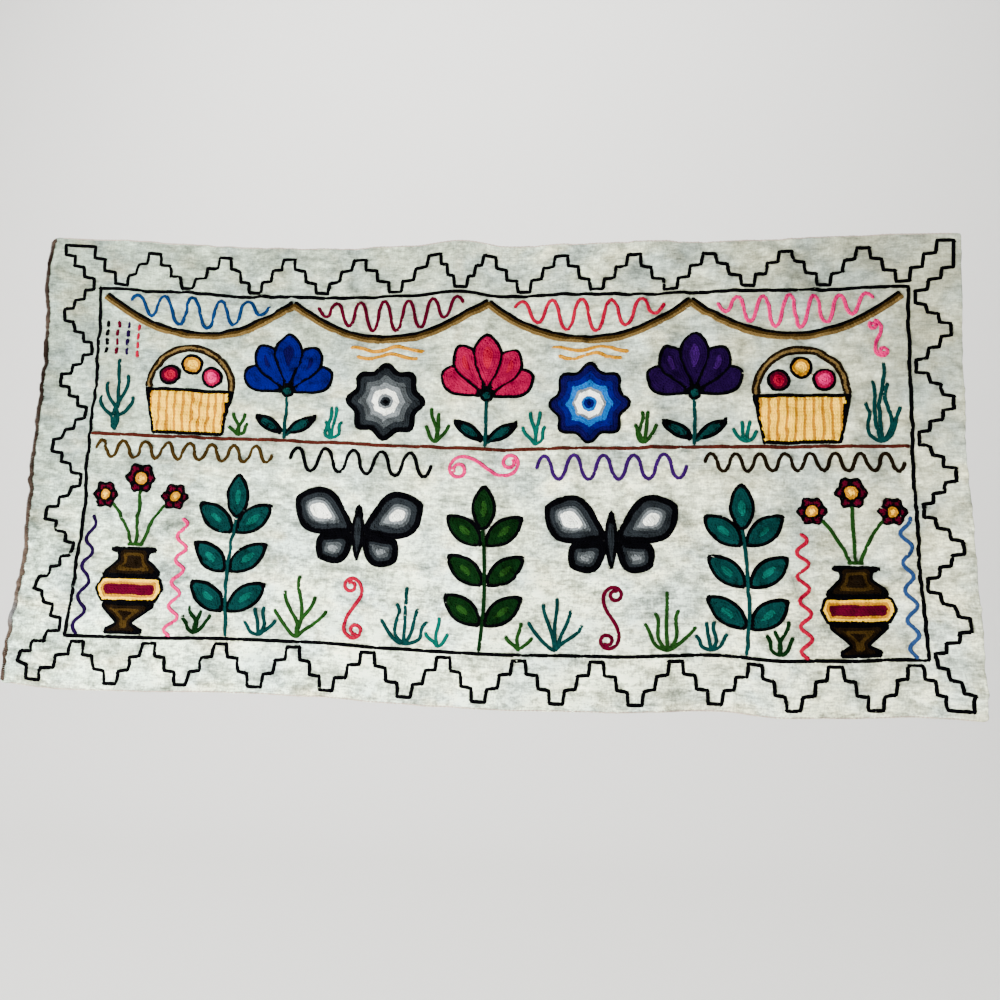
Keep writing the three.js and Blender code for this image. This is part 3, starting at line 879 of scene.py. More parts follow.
# Winding rows in the bellies of the swags
bellies = {
    "count": 5, "reach": 92.0, "under": 6.5, "over": 10.5, "yarns": ["petrol", "crimson", "rose", "pink"],
}
for k, yarn in enumerate(bellies["yarns"]):
    centre = swagPath(k)[:, 0].mean()
    path = waveBetween(
        centre - bellies["reach"], centre + bellies["reach"], bellies["count"] + k % 2,
        lambda s: lines["top"] - bellies["under"], lambda s: swagLevel(s) + bellies["over"], math.pi * k,
    )
    name = "blueMeanders" if yarn == "petrol" else "roseMeanders"
    addLoose(name, "sky_yarn" if yarn == "petrol" else "magenta_yarn", [path], yarn)

# Winding rows along the top of the lower register
for name, finish, yarn, start, end, low, waves in (
    ("darkMeanders", "black_yarn", "umber", -492.0, -262.0, -292.0, 8),
    ("darkMeanders", "black_yarn", "black", -238.0, -60.0, -300.0, 5),
    ("purpleMeanders", "purple_yarn", "violet", 70.0, 250.0, -300.0, 5),
    ("darkMeanders", "black_yarn", "brown", 272.0, 504.0, -292.0, 8),
):
    path = waveBetween(start, end, waves, lambda s: lines["ground"] - 8.0, lambda s: low)
    addLoose(name, finish, [path], yarn)

# Upright winding rows beside the urns
for name, finish, yarn, across, top, swing, waves in (
    ("purpleMeanders", "purple_yarn", "purple", -489.0, -366.0, 6.0, 4),
    ("roseMeanders", "magenta_yarn", "pink", -371.0, -366.0, 6.5, 5),
    ("roseMeanders", "magenta_yarn", "rose", 381.0, -366.0, 6.5, 5),
    ("blueMeanders", "sky_yarn", "steel", 500.0, -340.0, 6.0, 5),
):
    t = even(top, lowerBase - 1.0, waves * 24)
    s = across + swing * np.sin(2 * np.pi * waves * (t - top) / (lowerBase - top))
    addLoose(name, finish, [np.stack([s, t], axis=1)], yarn)

# Scrolls
for yarn, centre, size, angle, flip in (
    ("pink", (middle, -283.0), 84.0, -35.0, 1), ("rose", (middle - 154, -465.0), 72.0, 55.0, 1),
    ("crimson", (middle + 154, -465.0), 72.0, 55.0, -1), ("pink", (477.0, -131.0), 46.0, 60.0, 1),
):
    addLoose("scrolls", "crimson_yarn", [scroll(centre, size, angle, flip=flip)], yarn)

# Grass
tufts = [
    ("teal", (-470.0, upperBase), 96.0, 16.5, 5), ("teal", (480.0, upperBase), 96.0, 23.0, 5),
    ("leaf", (-309.0, upperBase), 34.0, 15.0, 4), ("jade", (-188.0, upperBase), 48.0, 14.0, 4),
    ("leaf", (-56.0, upperBase), 48.0, 14.0, 4), ("jade", (67.0, upperBase), 48.0, 14.0, 4),
    ("leaf", (199.0, upperBase), 48.0, 14.0, 4), ("jade", (320.0, upperBase), 34.0, 15.0, 4),
    ("leaf", (-213.0, lowerBase), 74.0, 30.0, 5), ("teal", (-84.0, lowerBase), 66.0, 30.0, 5),
    ("teal", (95.0, lowerBase), 70.0, 30.0, 5), ("leaf", (224.0, lowerBase), 66.0, 30.0, 5),
    ("green", (-341.0, lowerBase), 46.0, 16.0, 4), ("teal", (-262.0, lowerBase), 40.0, 20.0, 4),
    ("teal", (274.0, lowerBase), 40.0, 20.0, 4), ("green", (352.0, lowerBase), 46.0, 16.0, 4),
    ("jade", (-44.0, lowerBase), 34.0, 14.0, 3), ("leaf", (52.0, lowerBase), 34.0, 14.0, 3),
]
for k, (yarn, foot, height, reach, count) in enumerate(tufts):
    name = "tealGrass" if yarn in ("teal", "jade") else "greenGrass"
    finish = "teal_yarn" if yarn in ("teal", "jade") else "green_yarn"
    addLoose(name, finish, spray((foot[0], foot[1] + 2.5), height, reach, count, 40 + k), yarn)

# Flowing lines over the medallions, and rows of short running stitches at the left end
for side in medallion["centre"]:
    centre = medallion["centre"][side][0]
    for k, (level, reach) in enumerate(((-138.0, 46.0), (-147.0, 38.0))):
        s = even(centre - reach, centre + reach, 60)
        t = level + 3.0 * np.sin((s - centre) / 9.0 + k)
        addLoose("goldLines", "orange_yarn", [np.stack([s, t], axis=1)], "gold")
dashes = {"length": 7.0, "gap": 5.0, "top": -112.0, "bottom": -158.0}
for k, yarn in enumerate(("black", "crimson", "purple", "rose")):
    across = -491.0 + 14.0 * k
    start = min(dashes["top"], swagLevel(across) - 10.0)
    while start - dashes["length"] > dashes["bottom"]:
        end = start - dashes["length"]
        row = (np.array([(across, start), (across, end)]), False, yarn)
        loose.setdefault("runningStitches", {"rows": [], "finish": "black_yarn"})["rows"].append(row)
        start = end - dashes["gap"]

print("rows drawn:", sum(len(one["rows"]) for one in list(motifs.values()) + list(loose.values())))

# The hung form: how far the cloth droops below its flat place along three levels, by place across
middleLevel = 315.0
droopRows = np.array([
    (-575, 0, 0, 0), (-497, 3, 0.5, 5.3), (-410, 8.4, 2, 4.5), (-300, 15.5, 4.5, 1.7),
    (-189, 17.5, 7, 2), (-100, 13.5, 11, 6), (-34, 5.7, 13, 8), (25, 14.7, 13.5, 9.2),
    (144, 10.4, 10.5, 7.5), (283, 8, 6.5, 1.1), (350, 6.5, 5, 6.2), (420, 4, 4, 3.5),
    (497, 0.5, 3, -1.2), (575, 0, 2, 0.5),
])
# How far the left and right edges are drawn in, by height from the bottom up
pullRows = np.array([
    (-573, 0, 1.5), (-530, 0.5, -1), (-470, 6, 1.5), (-410, 9.5, 4.5), (-345, 10, 6), (-290, 7, 8),
    (-206, 7.5, 7), (-120, 4, 5), (-46, -3, 2), (0, 0, 0),
])
# Soft ridges towards the viewer, or troughs where the height is below zero: from, to, width, height
folds = {
    "left droop": ((-330, 20), (-300, -150), 120, 9),
    "right droop": ((260, 20), (240, -170), 150, 8),
    "middle storage crease": ((0, -60), (2, -600), 26, 3.5),
    "level storage crease": ((-600, -306), (600, -300), 28, 2.6),
    "left frame trough": ((-478, -360), (-486, -500), 34, -4.5),
    "corner fold": ((-470, -470), (-600, -600), 30, 7),
    "left edge roll": ((-590, -90), (-590, -520), 46, 5),
    "right edge roll": ((590, -60), (590, -560), 60, 12),
    "first hem wave": ((-430, -600), (-400, -400), 62, 6),
    "second hem wave": ((-215, -600), (-230, -430), 52, -4),
    "third hem wave": ((30, -600), (10, -380), 80, 8),
    "fourth hem wave": ((284, -600), (275, -450), 38, -5),
    "fifth hem wave": ((372, -600), (350, -420), 48, 7),
    "sixth hem wave": ((490, -600), (480, -470), 40, -5),
    "belly": ((-150, -260), (200, -250), 170, 5),
}
hung = {
    "standOff": 7.0, "foldEnd": 70.0, "holdFade": 150.0, "edgeLift": 1.8, "whipWidth": 6.0, "whipFade": 20.0,
}
holds = {"left": (-575, 0, 66), "middle": (-34, 0, 40), "right": (575, 0, 66)}
# Small relief that the solids leave out
relief = {
    "stepAcross": 5.6, "stepDown": 3.1, "rim": 0.7,
    "corners": {"topLeft": 7.5, "topRight": 4.0, "bottomLeft": 4.0, "bottomRight": 6.0},
    "draw": 0.8, "drawReach": 5.0, "underFill": 4.2, "underShape": 1.5, "underPaintedShade": 0.5,
    "pucker": 3.0, "puckerLong": 15.0, "puckerHigh": 7.5, "puckerTurn": -28.0, "puckerReach": 50.0,
    "puckerFar": 0.35, "slack": 2.8, "slackSize": 52.0, "finer": 0.5, "heldLoose": 0.5,
    "gather": 0.9, "gatherLong": 40.0, "gatherHigh": 8.5, "gatherRight": 0.6,
    "gatherReach": {"left": 24.0, "right": 14.0},
    "edgeWave": 0.8, "edgeWaveLength": 13.0, "edgeWaveReach": 14.0,
}
# The seed of each kind of noise in the cloth's form
seeds = {"pucker": 3, "finePucker": 4, "slack": 5, "fineSlack": 6, "gather": 7, "edge": 8}


def smooth(x):
    u = np.clip(x, 0.0, 1.0)
    return u * u * (3 - 2 * u)


def tableAt(table, at, column):
    places = table[:, 0]
    values = table[:, column]
    i = np.clip(np.searchsorted(places, at, side="right") - 1, 0, len(places) - 2)
    share = (at - places[i]) / (places[i + 1] - places[i])
    return values[i] + (values[i + 1] - values[i]) * smooth(share)


# Smooth noise from -1 to 1, with a seed of its own
def softNoise(s, t, size, seed):
    table = np.random.default_rng(seed).uniform(-1, 1, (128, 128))
    u = s / size + 64
    v = t / size + 64
    i = np.floor(u).astype(int)
    j = np.floor(v).astype(int)
    a = smooth(u - i)
    b = smooth(v - j)
    i %= 127
    j %= 127
    low = table[i, j] * (1 - a) + table[i + 1, j] * a
    high = table[i, j + 1] * (1 - a) + table[i + 1, j + 1] * a
    return low * (1 - b) + high * b


def foldHeight(start, end, width, height, s, t):
    along = (end[0] - start[0], end[1] - start[1])
    length = math.hypot(*along)
    run = ((s - start[0]) * along[0] + (t - start[1]) * along[1]) / length
    off = ((s - start[0]) * along[1] - (t - start[1]) * along[0]) / length
    past = np.maximum(0, np.maximum(-run, run - length))
    return height * np.exp(-((off / width) ** 2)) * (1 - smooth(past / hung["foldEnd"]))


def depthAt(s, t):
    free = np.full(s.shape, hung["standOff"])
    for start, end, width, height in folds.values():
        free += foldHeight(start, end, width, height, s, t)
    held = np.ones(s.shape)
    for holdS, holdT, flat in holds.values():
        away = np.hypot(s - holdS, t - holdT) - flat
        held = np.minimum(held, smooth(away / hung["holdFade"]))
    fromEdge = (s + cloth["width"] / 2 - hung["whipWidth"]) / hung["whipFade"]
    return np.maximum(0, free) * held + hung["edgeLift"] * (1 - smooth(fromEdge)), held


# Flat places were read from the photo as if they lay on the wall, so a place that stands off it goes
# along its line of sight
eye = {"x": 99.9, "distance": 949.4, "z": -474.0}


def hang(s, t):
    upper = -t < middleLevel
    share = np.where(upper, -t / middleLevel, (-t - middleLevel) / (cloth["height"] - middleLevel))
    top, level, bottom = (tableAt(droopRows, s, column) for column in (1, 2, 3))
    start = np.where(upper, top, level)
    drop = start + (np.where(upper, level, bottom) - start) * smooth(share)
    half = cloth["width"] / 2
    pull = tableAt(pullRows, t, 1) * ((half - s) / cloth["width"]) ** 2
    pull = pull - tableAt(pullRows, t, 2) * ((half + s) / cloth["width"]) ** 2
    depth, held = depthAt(s, t)
    nearer = depth / eye["distance"]
    x = s + pull
    z = t - drop
    return x + (eye["x"] - x) * nearer, depth, z + (eye["z"] - z) * nearer, held


# How close each place is to the nearest worked row, or to the nearest row inside a fill, and the
# colour of that row's yarn
def nearestRow(s, t, inFills=False):
    places, colours = [], []
    for one in list(motifs.values()) + list(loose.values()):
        for path, closed, yarn, *core in one["rows"]:
            if inFills and core in ([], [1.0]):
                continue
            spots = resampled(path, 3.0, closed)
            places.append(spots)
            colours += [yarns[yarn]] * len(spots)
    places = np.vstack(places)
    tree = KDTree(len(places))
    for k, place in enumerate(places):
        tree.insert((place[0], place[1], 0.0), k)
    tree.balance()
    found = [tree.find((a, b, 0.0)) for a, b in zip(s.ravel(), t.ravel())]
    apart = np.array([one[2] for one in found]).reshape(s.shape)
    return apart, np.array([colours[one[1]] for one in found])


# Stations close together at the edges, where the cloth turns over
def stations(start, end, step):
    rim = np.array([0.0, 0.8, 2.2, 4.2])
    count = max(2, round((end - start - 2 * rim[-1]) / step))
    inner = np.linspace(start + rim[-1], end - rim[-1], count + 1)
    return np.concatenate([start + rim[:-1], inner, end - rim[-2::-1]])


half = cloth["width"] / 2
acrossStations = stations(-half, half, relief["stepAcross"])
downStations = stations(-cloth["height"], 0.0, relief["stepDown"])[::-1]
gridS, gridT = np.meshgrid(acrossStations, downStations)


# The corners are rounded by drawing the ends of the first and last grid lines in
def cornerCut(radius, fromEnd):
    return radius - np.sqrt(np.maximum(0, radius**2 - np.maximum(0, radius - fromEnd) ** 2))


corners = relief["corners"]
leftCut = cornerCut(corners["topLeft"], -gridT) + cornerCut(corners["bottomLeft"], gridT + cloth["height"])
rightCut = cornerCut(corners["topRight"], -gridT) + cornerCut(corners["bottomRight"], gridT + cloth["height"])
placeS = gridS + leftCut * smooth(-gridS / half) - rightCut * smooth(gridS / half)

nearRow, nearColour = nearestRow(placeS, gridT)
nearFill, fillColour = nearestRow(placeS, gridT, inFills=True)
insideShape = np.zeros(placeS.shape, dtype=bool)
for shape in [shape for one in motifs.values() for shape in one["shapes"]]:
    low, high = shape.min(axis=0), shape.max(axis=0)
    near = (placeS > low[0]) & (placeS < high[0]) & (gridT > low[1]) & (gridT < high[1])
    if near.any():
        insideShape[near] |= depthInside(shape, placeS[near], gridT[near]) > relief["underShape"]
hungX, hungDepth, hungZ, held = hang(placeS, gridT)
turn = math.radians(relief["puckerTurn"])
turnedS = placeS * math.cos(turn) - gridT * math.sin(turn)
turnedT = placeS * math.sin(turn) + gridT * math.cos(turn)
long, high = relief["puckerLong"], relief["puckerHigh"]
pucker = softNoise(turnedS / long, turnedT / high, 1.0, seeds["pucker"])
pucker = pucker + relief["finer"] * softNoise(turnedS / high, turnedT / high, 0.6, seeds["finePucker"])
drawn = np.exp(-((nearRow / relief["drawReach"]) ** 2))
nearWork = np.exp(-nearRow / relief["puckerReach"])
slack = softNoise(placeS, gridT, relief["slackSize"], seeds["slack"])
slack = slack + relief["finer"] * softNoise(placeS, gridT, relief["slackSize"] / 2, seeds["fineSlack"])
gather = softNoise(placeS / relief["gatherLong"], gridT / relief["gatherHigh"], 1.0, seeds["gather"])
reach = relief["gatherReach"]
fromLeft = np.exp(-(placeS + half) / reach["left"])
gather = gather * (fromLeft + relief["gatherRight"] * np.exp((placeS - half) / reach["right"]))
loosely = relief["heldLoose"] + (1 - relief["heldLoose"]) * held
nearWork = relief["puckerFar"] + (1 - relief["puckerFar"]) * nearWork
fine = loosely * (relief["pucker"] * pucker * nearWork + relief["slack"] * slack)
fine = fine + relief["gather"] * gather - relief["draw"] * drawn
hungDepth = np.maximum(hungDepth + fine, 0.05)
wave = softNoise(gridT / relief["edgeWaveLength"], gridT * 0, 1.0, seeds["edge"]) * relief["edgeWave"]
hungX = hungX + wave * np.exp(-((placeS + half) / relief["edgeWaveReach"]) ** 2)
frontGrid = np.stack([hungX, -(hungDepth + cloth["thickness"]), hungZ], axis=2)
backGrid = np.stack([hungX, -hungDepth, hungZ], axis=2)


# Out of the front face, at each crossing of the grid
def gridNormals(points):
    across = np.gradient(points, axis=1)
    down = np.gradient(points, axis=0)
    normals = np.cross(down, across)
    return normals / np.linalg.norm(normals, axis=2)[:, :, None]


frontNormals = gridNormals(frontGrid)


# A value of the grid at any flat place on the cloth
def readGrid(values, path):
    i = np.interp(path[:, 0], acrossStations, np.arange(len(acrossStations)))
    j = np.interp(-path[:, 1], -downStations, np.arange(len(downStations)))
    i0 = np.minimum(i.astype(int), len(acrossStations) - 2)
    j0 = np.minimum(j.astype(int), len(downStations) - 2)
    a = (i - i0)[:, None]
    b = (j - j0)[:, None]
    upper = values[j0, i0] * (1 - a) + values[j0, i0 + 1] * a
    lower = values[j0 + 1, i0] * (1 - a) + values[j0 + 1, i0 + 1] * a
    return upper * (1 - b) + lower * b


print("cloth hung")


# Gives a node's socket a value, or joins another socket to it
def give(tree, socket, value):
    if isinstance(value, bpy.types.NodeSocket):
        tree.links.new(value, socket)
    else:
        socket.default_value = value


# Adds a node and gives back one of its outputs. Names in small letters are the node's own settings and
# the others its sockets. Values without a name go to the sockets in order
def put(tree, kind, *inOrder, out=0, **named):
    node = tree.nodes.new(kind)
    for key, value in named.items():
        if key[0].islower():
            setattr(node, key, value)
    for socket, value in zip(node.inputs, inOrder):
        give(tree, socket, value)
    for key, value in named.items():
        if key[0].isupper():
            give(tree, node.inputs[key.replace("_", " ")], value)
    return node.outputs[out]


def newMaterial(name, finish):
    material = bpy.data.materials.new(name)
    material.use_nodes = True
    shader = material.node_tree.nodes["Principled BSDF"].inputs
    shader["Roughness"].default_value = finish["roughness"]
    shader["Sheen Weight"].default_value = finish["sheen"]
    shader["Sheen Roughness"].default_value = finish["sheenRoughness"]
    shader["Specular IOR Level"].default_value = finish["shine"]
    return material, material.node_tree, shader


# Adds an object with a mesh of its own. Points are in metres
def newObject(name, points, edges=(), faces=()):
    mesh = bpy.data.meshes.new(name)
    mesh.from_pydata([tuple(p) for p in points], edges, faces)
    made = bpy.data.objects.new(name, mesh)
    bpy.context.scene.collection.objects.link(made)
    return made


# Keeps a number, a vector or a colour at each point of a mesh
def keep(mesh, name, kind, values):
    field = {"FLOAT": "value", "FLOAT_VECTOR": "vector", "FLOAT_COLOR": "color"}[kind]
    mesh.attributes.new(name, kind, "POINT").data.foreach_set(field, np.ravel(values))


# Wool yarn: its colour comes with each row, and the ply and the fuzz from small noise
yarnFinish = {
    "roughness": 0.95, "sheen": 0.0, "sheenRoughness": 0.4, "shine": 0.02,
    "patchScale": 60.0, "palest": 1.2, "darkest": 0.8,
    "fuzzScale": 2600.0, "bump": 0.3, "bumpHeight": 0.0004,
}


def yarnMaterial(name):
    finish = yarnFinish
    material, tree, shader = newMaterial(name, finish)
    place = put(tree, "ShaderNodeTexCoord", out="Object")
    colour = put(tree, "ShaderNodeAttribute", attribute_name="yarnColour", out="Color")
    shade = put(tree, "ShaderNodeAttribute", attribute_name="stitchShade", out="Fac")
    patch = put(tree, "ShaderNodeTexNoise", Vector=place, Scale=finish["patchScale"], Detail=3.0)
    fuzz = put(tree, "ShaderNodeTexNoise", Vector=place, Scale=finish["fuzzScale"], Detail=4.0)
    spread = put(tree, "ShaderNodeMapRange", patch, To_Min=finish["darkest"], To_Max=finish["palest"])
    tone = put(tree, "ShaderNodeMath", spread, shade, operation="MULTIPLY")
    tint = put(tree, "ShaderNodeVectorMath", colour, operation="SCALE", Scale=tone)
    bump = put(
        tree, "ShaderNodeBump", Strength=finish["bump"], Distance=finish["bumpHeight"], Height=fuzz
    )
    give(tree, shader["Base Color"], tint)
    give(tree, shader["Normal"], bump)
    return material


yarnMaterials = {}


def finishFor(slot):
    if slot not in yarnMaterials:
        yarnMaterials[slot] = yarnMaterial(slot.replace("_", " "))
    return yarnMaterials[slot]


# What a user would change in each kind of stitch. Sizes are in metres
chainSizes = {
    "Pitch": stitch["pitch"] * mm, "Strand width": 0.0023, "Strand height": stitch["height"] * mm + 0.0005,
    "Strand length": 0.006, "Spread": 0.00115, "Lean": 0.17, "Sink": 0.0005, "Jitter": 0.07,
    "Core width": 0.0053, "Core height": 0.0015, "Core lift": 0.0001, "Seed": 0,
}
hemSizes = {
    "Pitch": 0.0045, "Strand width": 0.0008, "Strand height": 0.0009, "Strand length": 0.0058,
    "Spread": 0.0003, "Lean": 0.2, "Sink": 0.0004, "Jitter": 0.1,
    "Core width": 0.0010, "Core height": 0.0005, "Core lift": 0.0, "Seed": 90,
}
backSizes = {"Pitch": stitch["pitch"] * mm, "Length": 0.0056, "Width": 0.0024, "Height": 0.0018, "Seed": 12}
# How round each strand is, and from which tone to which its stitches go
chainMake = {"segments": 4, "rings": 3, "tones": (0.86, 1.14), "coreSides": 6, "coreShade": 0.85}
backMake = {"segments": 4, "rings": 2, "tones": (0.85, 1.15)}
whipMake = {"sides": 5, "tones": (0.75, 1.25)}


# Adds a tree that works stitches along rows, and gives back its named inputs
def newTree(name, sizes, strand=False):
    tree = bpy.data.node_groups.new(name, "GeometryNodeTree")
    kinds = {"Rows": "Geometry", **({"Strand": "Object"} if strand else {})}
    kinds.update({key: "Int" if isinstance(value, int) else "Float" for key, value in sizes.items()})
    kinds["Finish"] = "Material"
    for key, kind in kinds.items():
        socket = tree.interface.new_socket(key, in_out="INPUT", socket_type="NodeSocket" + kind)
        if key in sizes:
            socket.default_value = sizes[key]
    tree.interface.new_socket("Stitches", in_out="OUTPUT", socket_type="NodeSocketGeometry")
    return tree, tree.nodes.new("NodeGroupInput").outputs


def maths(tree, operation, *values):
    return put(tree, "ShaderNodeMath", *values, operation=operation)


def vector(tree, x, y, z):
    return put(tree, "ShaderNodeCombineXYZ", x, y, z)


# A random number for each stitch. The node's first two sockets are for vectors
def dice(tree, low, high, seed=0):
    node = tree.nodes.new("FunctionNodeRandomValue")
    node.data_type = "FLOAT"
    for socket, value in ((node.inputs[2], low), (node.inputs[3], high), (node.inputs["Seed"], seed)):
        give(tree, socket, value)
    return node.outputs[1]


def kept(tree, name, kind="FLOAT"):
    return put(tree, "GeometryNodeInputNamedAttribute", data_type=kind, Name=name, out="Attribute")


def shaded(tree, geometry, domain, tone):
    return put(
        tree, "GeometryNodeStoreNamedAttribute", data_type="FLOAT", domain=domain,
        Geometry=geometry, Name="stitchShade", Value=tone,
    )


# Turns a point of a row so that Z stands off the cloth and X runs along the row
def alongRow(tree):
    return put(
        tree, "FunctionNodeAxesToRotation", primary_axis="Z", secondary_axis="X",
        Primary_Axis=kept(tree, "clothNormal", "FLOAT_VECTOR"),
        Secondary_Axis=put(tree, "GeometryNodeInputTangent"),
    )


# A grain laid along X
def grain(tree, make, height, width, length):
    ball = put(
        tree, "GeometryNodeMeshUVSphere", Segments=make["segments"], Rings=make["rings"], Radius=0.5
    )
    size = vector(tree, height, width, length)
    return put(tree, "GeometryNodeTransform", ball, Rotation=(0.0, math.pi / 2, 0.0), Scale=size)


# Sets a shape at each step along the rows, each with a tone of its own
def setAlong(tree, given, curve, shape, tone, **turns):
    spaced = put(tree, "GeometryNodeResampleCurve", mode="LENGTH", Curve=curve, Length=given["Pitch"])
    placed = put(tree, "GeometryNodeInstanceOnPoints", Points=spaced, Instance=shape, **turns)
    return put(tree, "GeometryNodeRealizeInstances", shaded(tree, placed, "INSTANCE", tone))


def swept(tree, curve, profile):
    return put(tree, "GeometryNodeCurveToMesh", Curve=curve, Profile_Curve=profile, Fill_Caps=True)


def joined(tree, *parts):
    node = tree.nodes.new("GeometryNodeJoinGeometry")
    for part in parts:
        tree.links.new(part, node.inputs["Geometry"])
    return node.outputs["Geometry"]


def ended(tree, given, solid):
    rounded = put(tree, "GeometryNodeSetShadeSmooth", solid)
    finish = put(tree, "GeometryNodeSetMaterial", Geometry=rounded, Material=given["Finish"])
    give(tree, tree.nodes.new("NodeGroupOutput").inputs["Stitches"], finish)
    return tree


# Chain stitch: two leaning strands to each loop, over a flat core that fills the row, its tone lowered as
# painted shade under the loops
def chainTree():
    tree, given = newTree("chain stitch", chainSizes)
    high, wide, long = (given["Strand " + key] for key in ("height", "width", "length"))
    sunk = maths(tree, "SUBTRACT", maths(tree, "MULTIPLY", high, 0.5), given["Sink"])
    strands = []
    for way in (-1.0, 1.0):
        aside = maths(tree, "MULTIPLY", given["Spread"], way)
        angle = maths(tree, "MULTIPLY", given["Lean"], way)
        strands.append(put(
            tree, "GeometryNodeTransform", grain(tree, chainMake, high, wide, long),
            Rotation=vector(tree, 0.0, 0.0, angle), Translation=vector(tree, 0.0, aside, sunk),
        ))
    low, top = chainMake["tones"]
    wobble, swell, tone = (
        dice(tree, *reach, maths(tree, "ADD", given["Seed"], offset))
        for reach, offset in (((-1.0, 1.0), 1.0), ((-1.0, 1.0), 2.0), ((low, top), 3.0))
    )
    wobble = maths(tree, "MULTIPLY", wobble, given["Jitter"])
    turned = put(
        tree, "FunctionNodeRotateRotation", rotation_space="LOCAL",
        Rotation=alongRow(tree), Rotate_By=vector(tree, 0.0, 0.0, wobble),
    )
    # The first and last stitch of an open row are small, so that its ends are round
    swell = maths(tree, "MULTIPLY_ADD", swell, given["Jitter"], 1.0)
    swell = maths(tree, "MULTIPLY", swell, kept(tree, "stitchScale"))
    curve = put(tree, "GeometryNodeMeshToCurve", given["Rows"])
    loops = setAlong(tree, given, curve, joined(tree, *strands), tone, Rotation=turned, Scale=swell)

    normal = kept(tree, "clothNormal", "FLOAT_VECTOR")
    lift = put(tree, "ShaderNodeVectorMath", normal, operation="SCALE", Scale=given["Core lift"])
    core = put(tree, "GeometryNodeSetCurveRadius", Curve=curve, Radius=kept(tree, "coreScale"))
    core = put(tree, "GeometryNodeSetPosition", Geometry=core, Offset=lift)
    core = put(tree, "GeometryNodeSetCurveNormal", mode="FREE", Curve=core, Normal=normal)
    ring = put(tree, "GeometryNodeCurvePrimitiveCircle", Resolution=chainMake["coreSides"], Radius=0.5)
    flat = vector(tree, given["Core height"], given["Core width"], 1.0)
    core = swept(tree, core, put(tree, "GeometryNodeTransform", ring, Scale=flat))
    # The core is darker than the loops: painted shade under them
    return ended(tree, given, joined(tree, shaded(tree, core, "POINT", chainMake["coreShade"]), loops))


# One short flat stitch at each step along the rows, as on the reverse
def reverseTree():
    tree, given = newTree("reverse stitch", backSizes)
    shape = grain(tree, backMake, given["Height"], given["Width"], given["Length"])
    tone = dice(tree, *backMake["tones"], given["Seed"])
    curve = put(tree, "GeometryNodeMeshToCurve", given["Rows"])
    return ended(tree, given, setAlong(tree, given, curve, shape, tone, Rotation=alongRow(tree)))


# The rows of one piece on the hung cloth, as edges that carry their yarn colour and the cloth's normal
def rowObject(name, rows, surface, way):
    places, edges, normals, colours, cores, scales = [], [], [], [], [], []
    for path, closed, yarn, *core in rows:
        flat = cornered(path, stitch["pitch"] * stitch["closer"], closed)
        first = len(places)
        places += list(readGrid(surface, flat) * mm)
        normals += list(readGrid(frontNormals, flat) * way)
        colours += [yarns[yarn] + (1.0,)] * len(flat)
        cores += [core[0] if core else 1.0] * len(flat)
        end = [1.0 if closed else stitch["endScale"]]
        scales += end + [1.0] * (len(flat) - 2) + end
        edges += [(first + k, first + k + 1) for k in range(len(flat) - 1)]
        if closed:
            edges.append((first + len(flat) - 1, first))
    made = newObject(name, places, edges)
    keep(made.data, "clothNormal", "FLOAT_VECTOR", normals)
    keep(made.data, "yarnColour", "FLOAT_COLOR", colours)
    keep(made.data, "coreScale", "FLOAT", cores)
    keep(made.data, "stitchScale", "FLOAT", scales)
    return made


# Works a tree over rows, and leaves a plain mesh that rides on the cloth
def worked(maker, name, slot, tree, settings):
    modifier = maker.modifiers.new("stitches", "NODES")
    modifier.node_group = tree
    inputs = [item for item in tree.interface.items_tree if item.in_out == "INPUT"]
    sockets = {item.name: item.identifier for item in inputs}
    for key, value in dict(settings, Finish=finishFor(slot)).items():
        modifier[sockets[key]] = value
    graph = bpy.context.evaluated_depsgraph_get()
    mesh = bpy.data.meshes.new_from_object(maker.evaluated_get(graph))
    bpy.data.objects.remove(maker)
    mesh.name = name
    piece = bpy.data.objects.new(name, mesh)
    bpy.context.scene.collection.objects.link(piece)
    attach(piece, "root")
    return piece


def stitchedPiece(name, rows, slot, tree, sizes, surface=frontGrid, way=1.0):
    return worked(rowObject(name + "Rows", rows, surface, way), name, slot, tree, sizes)


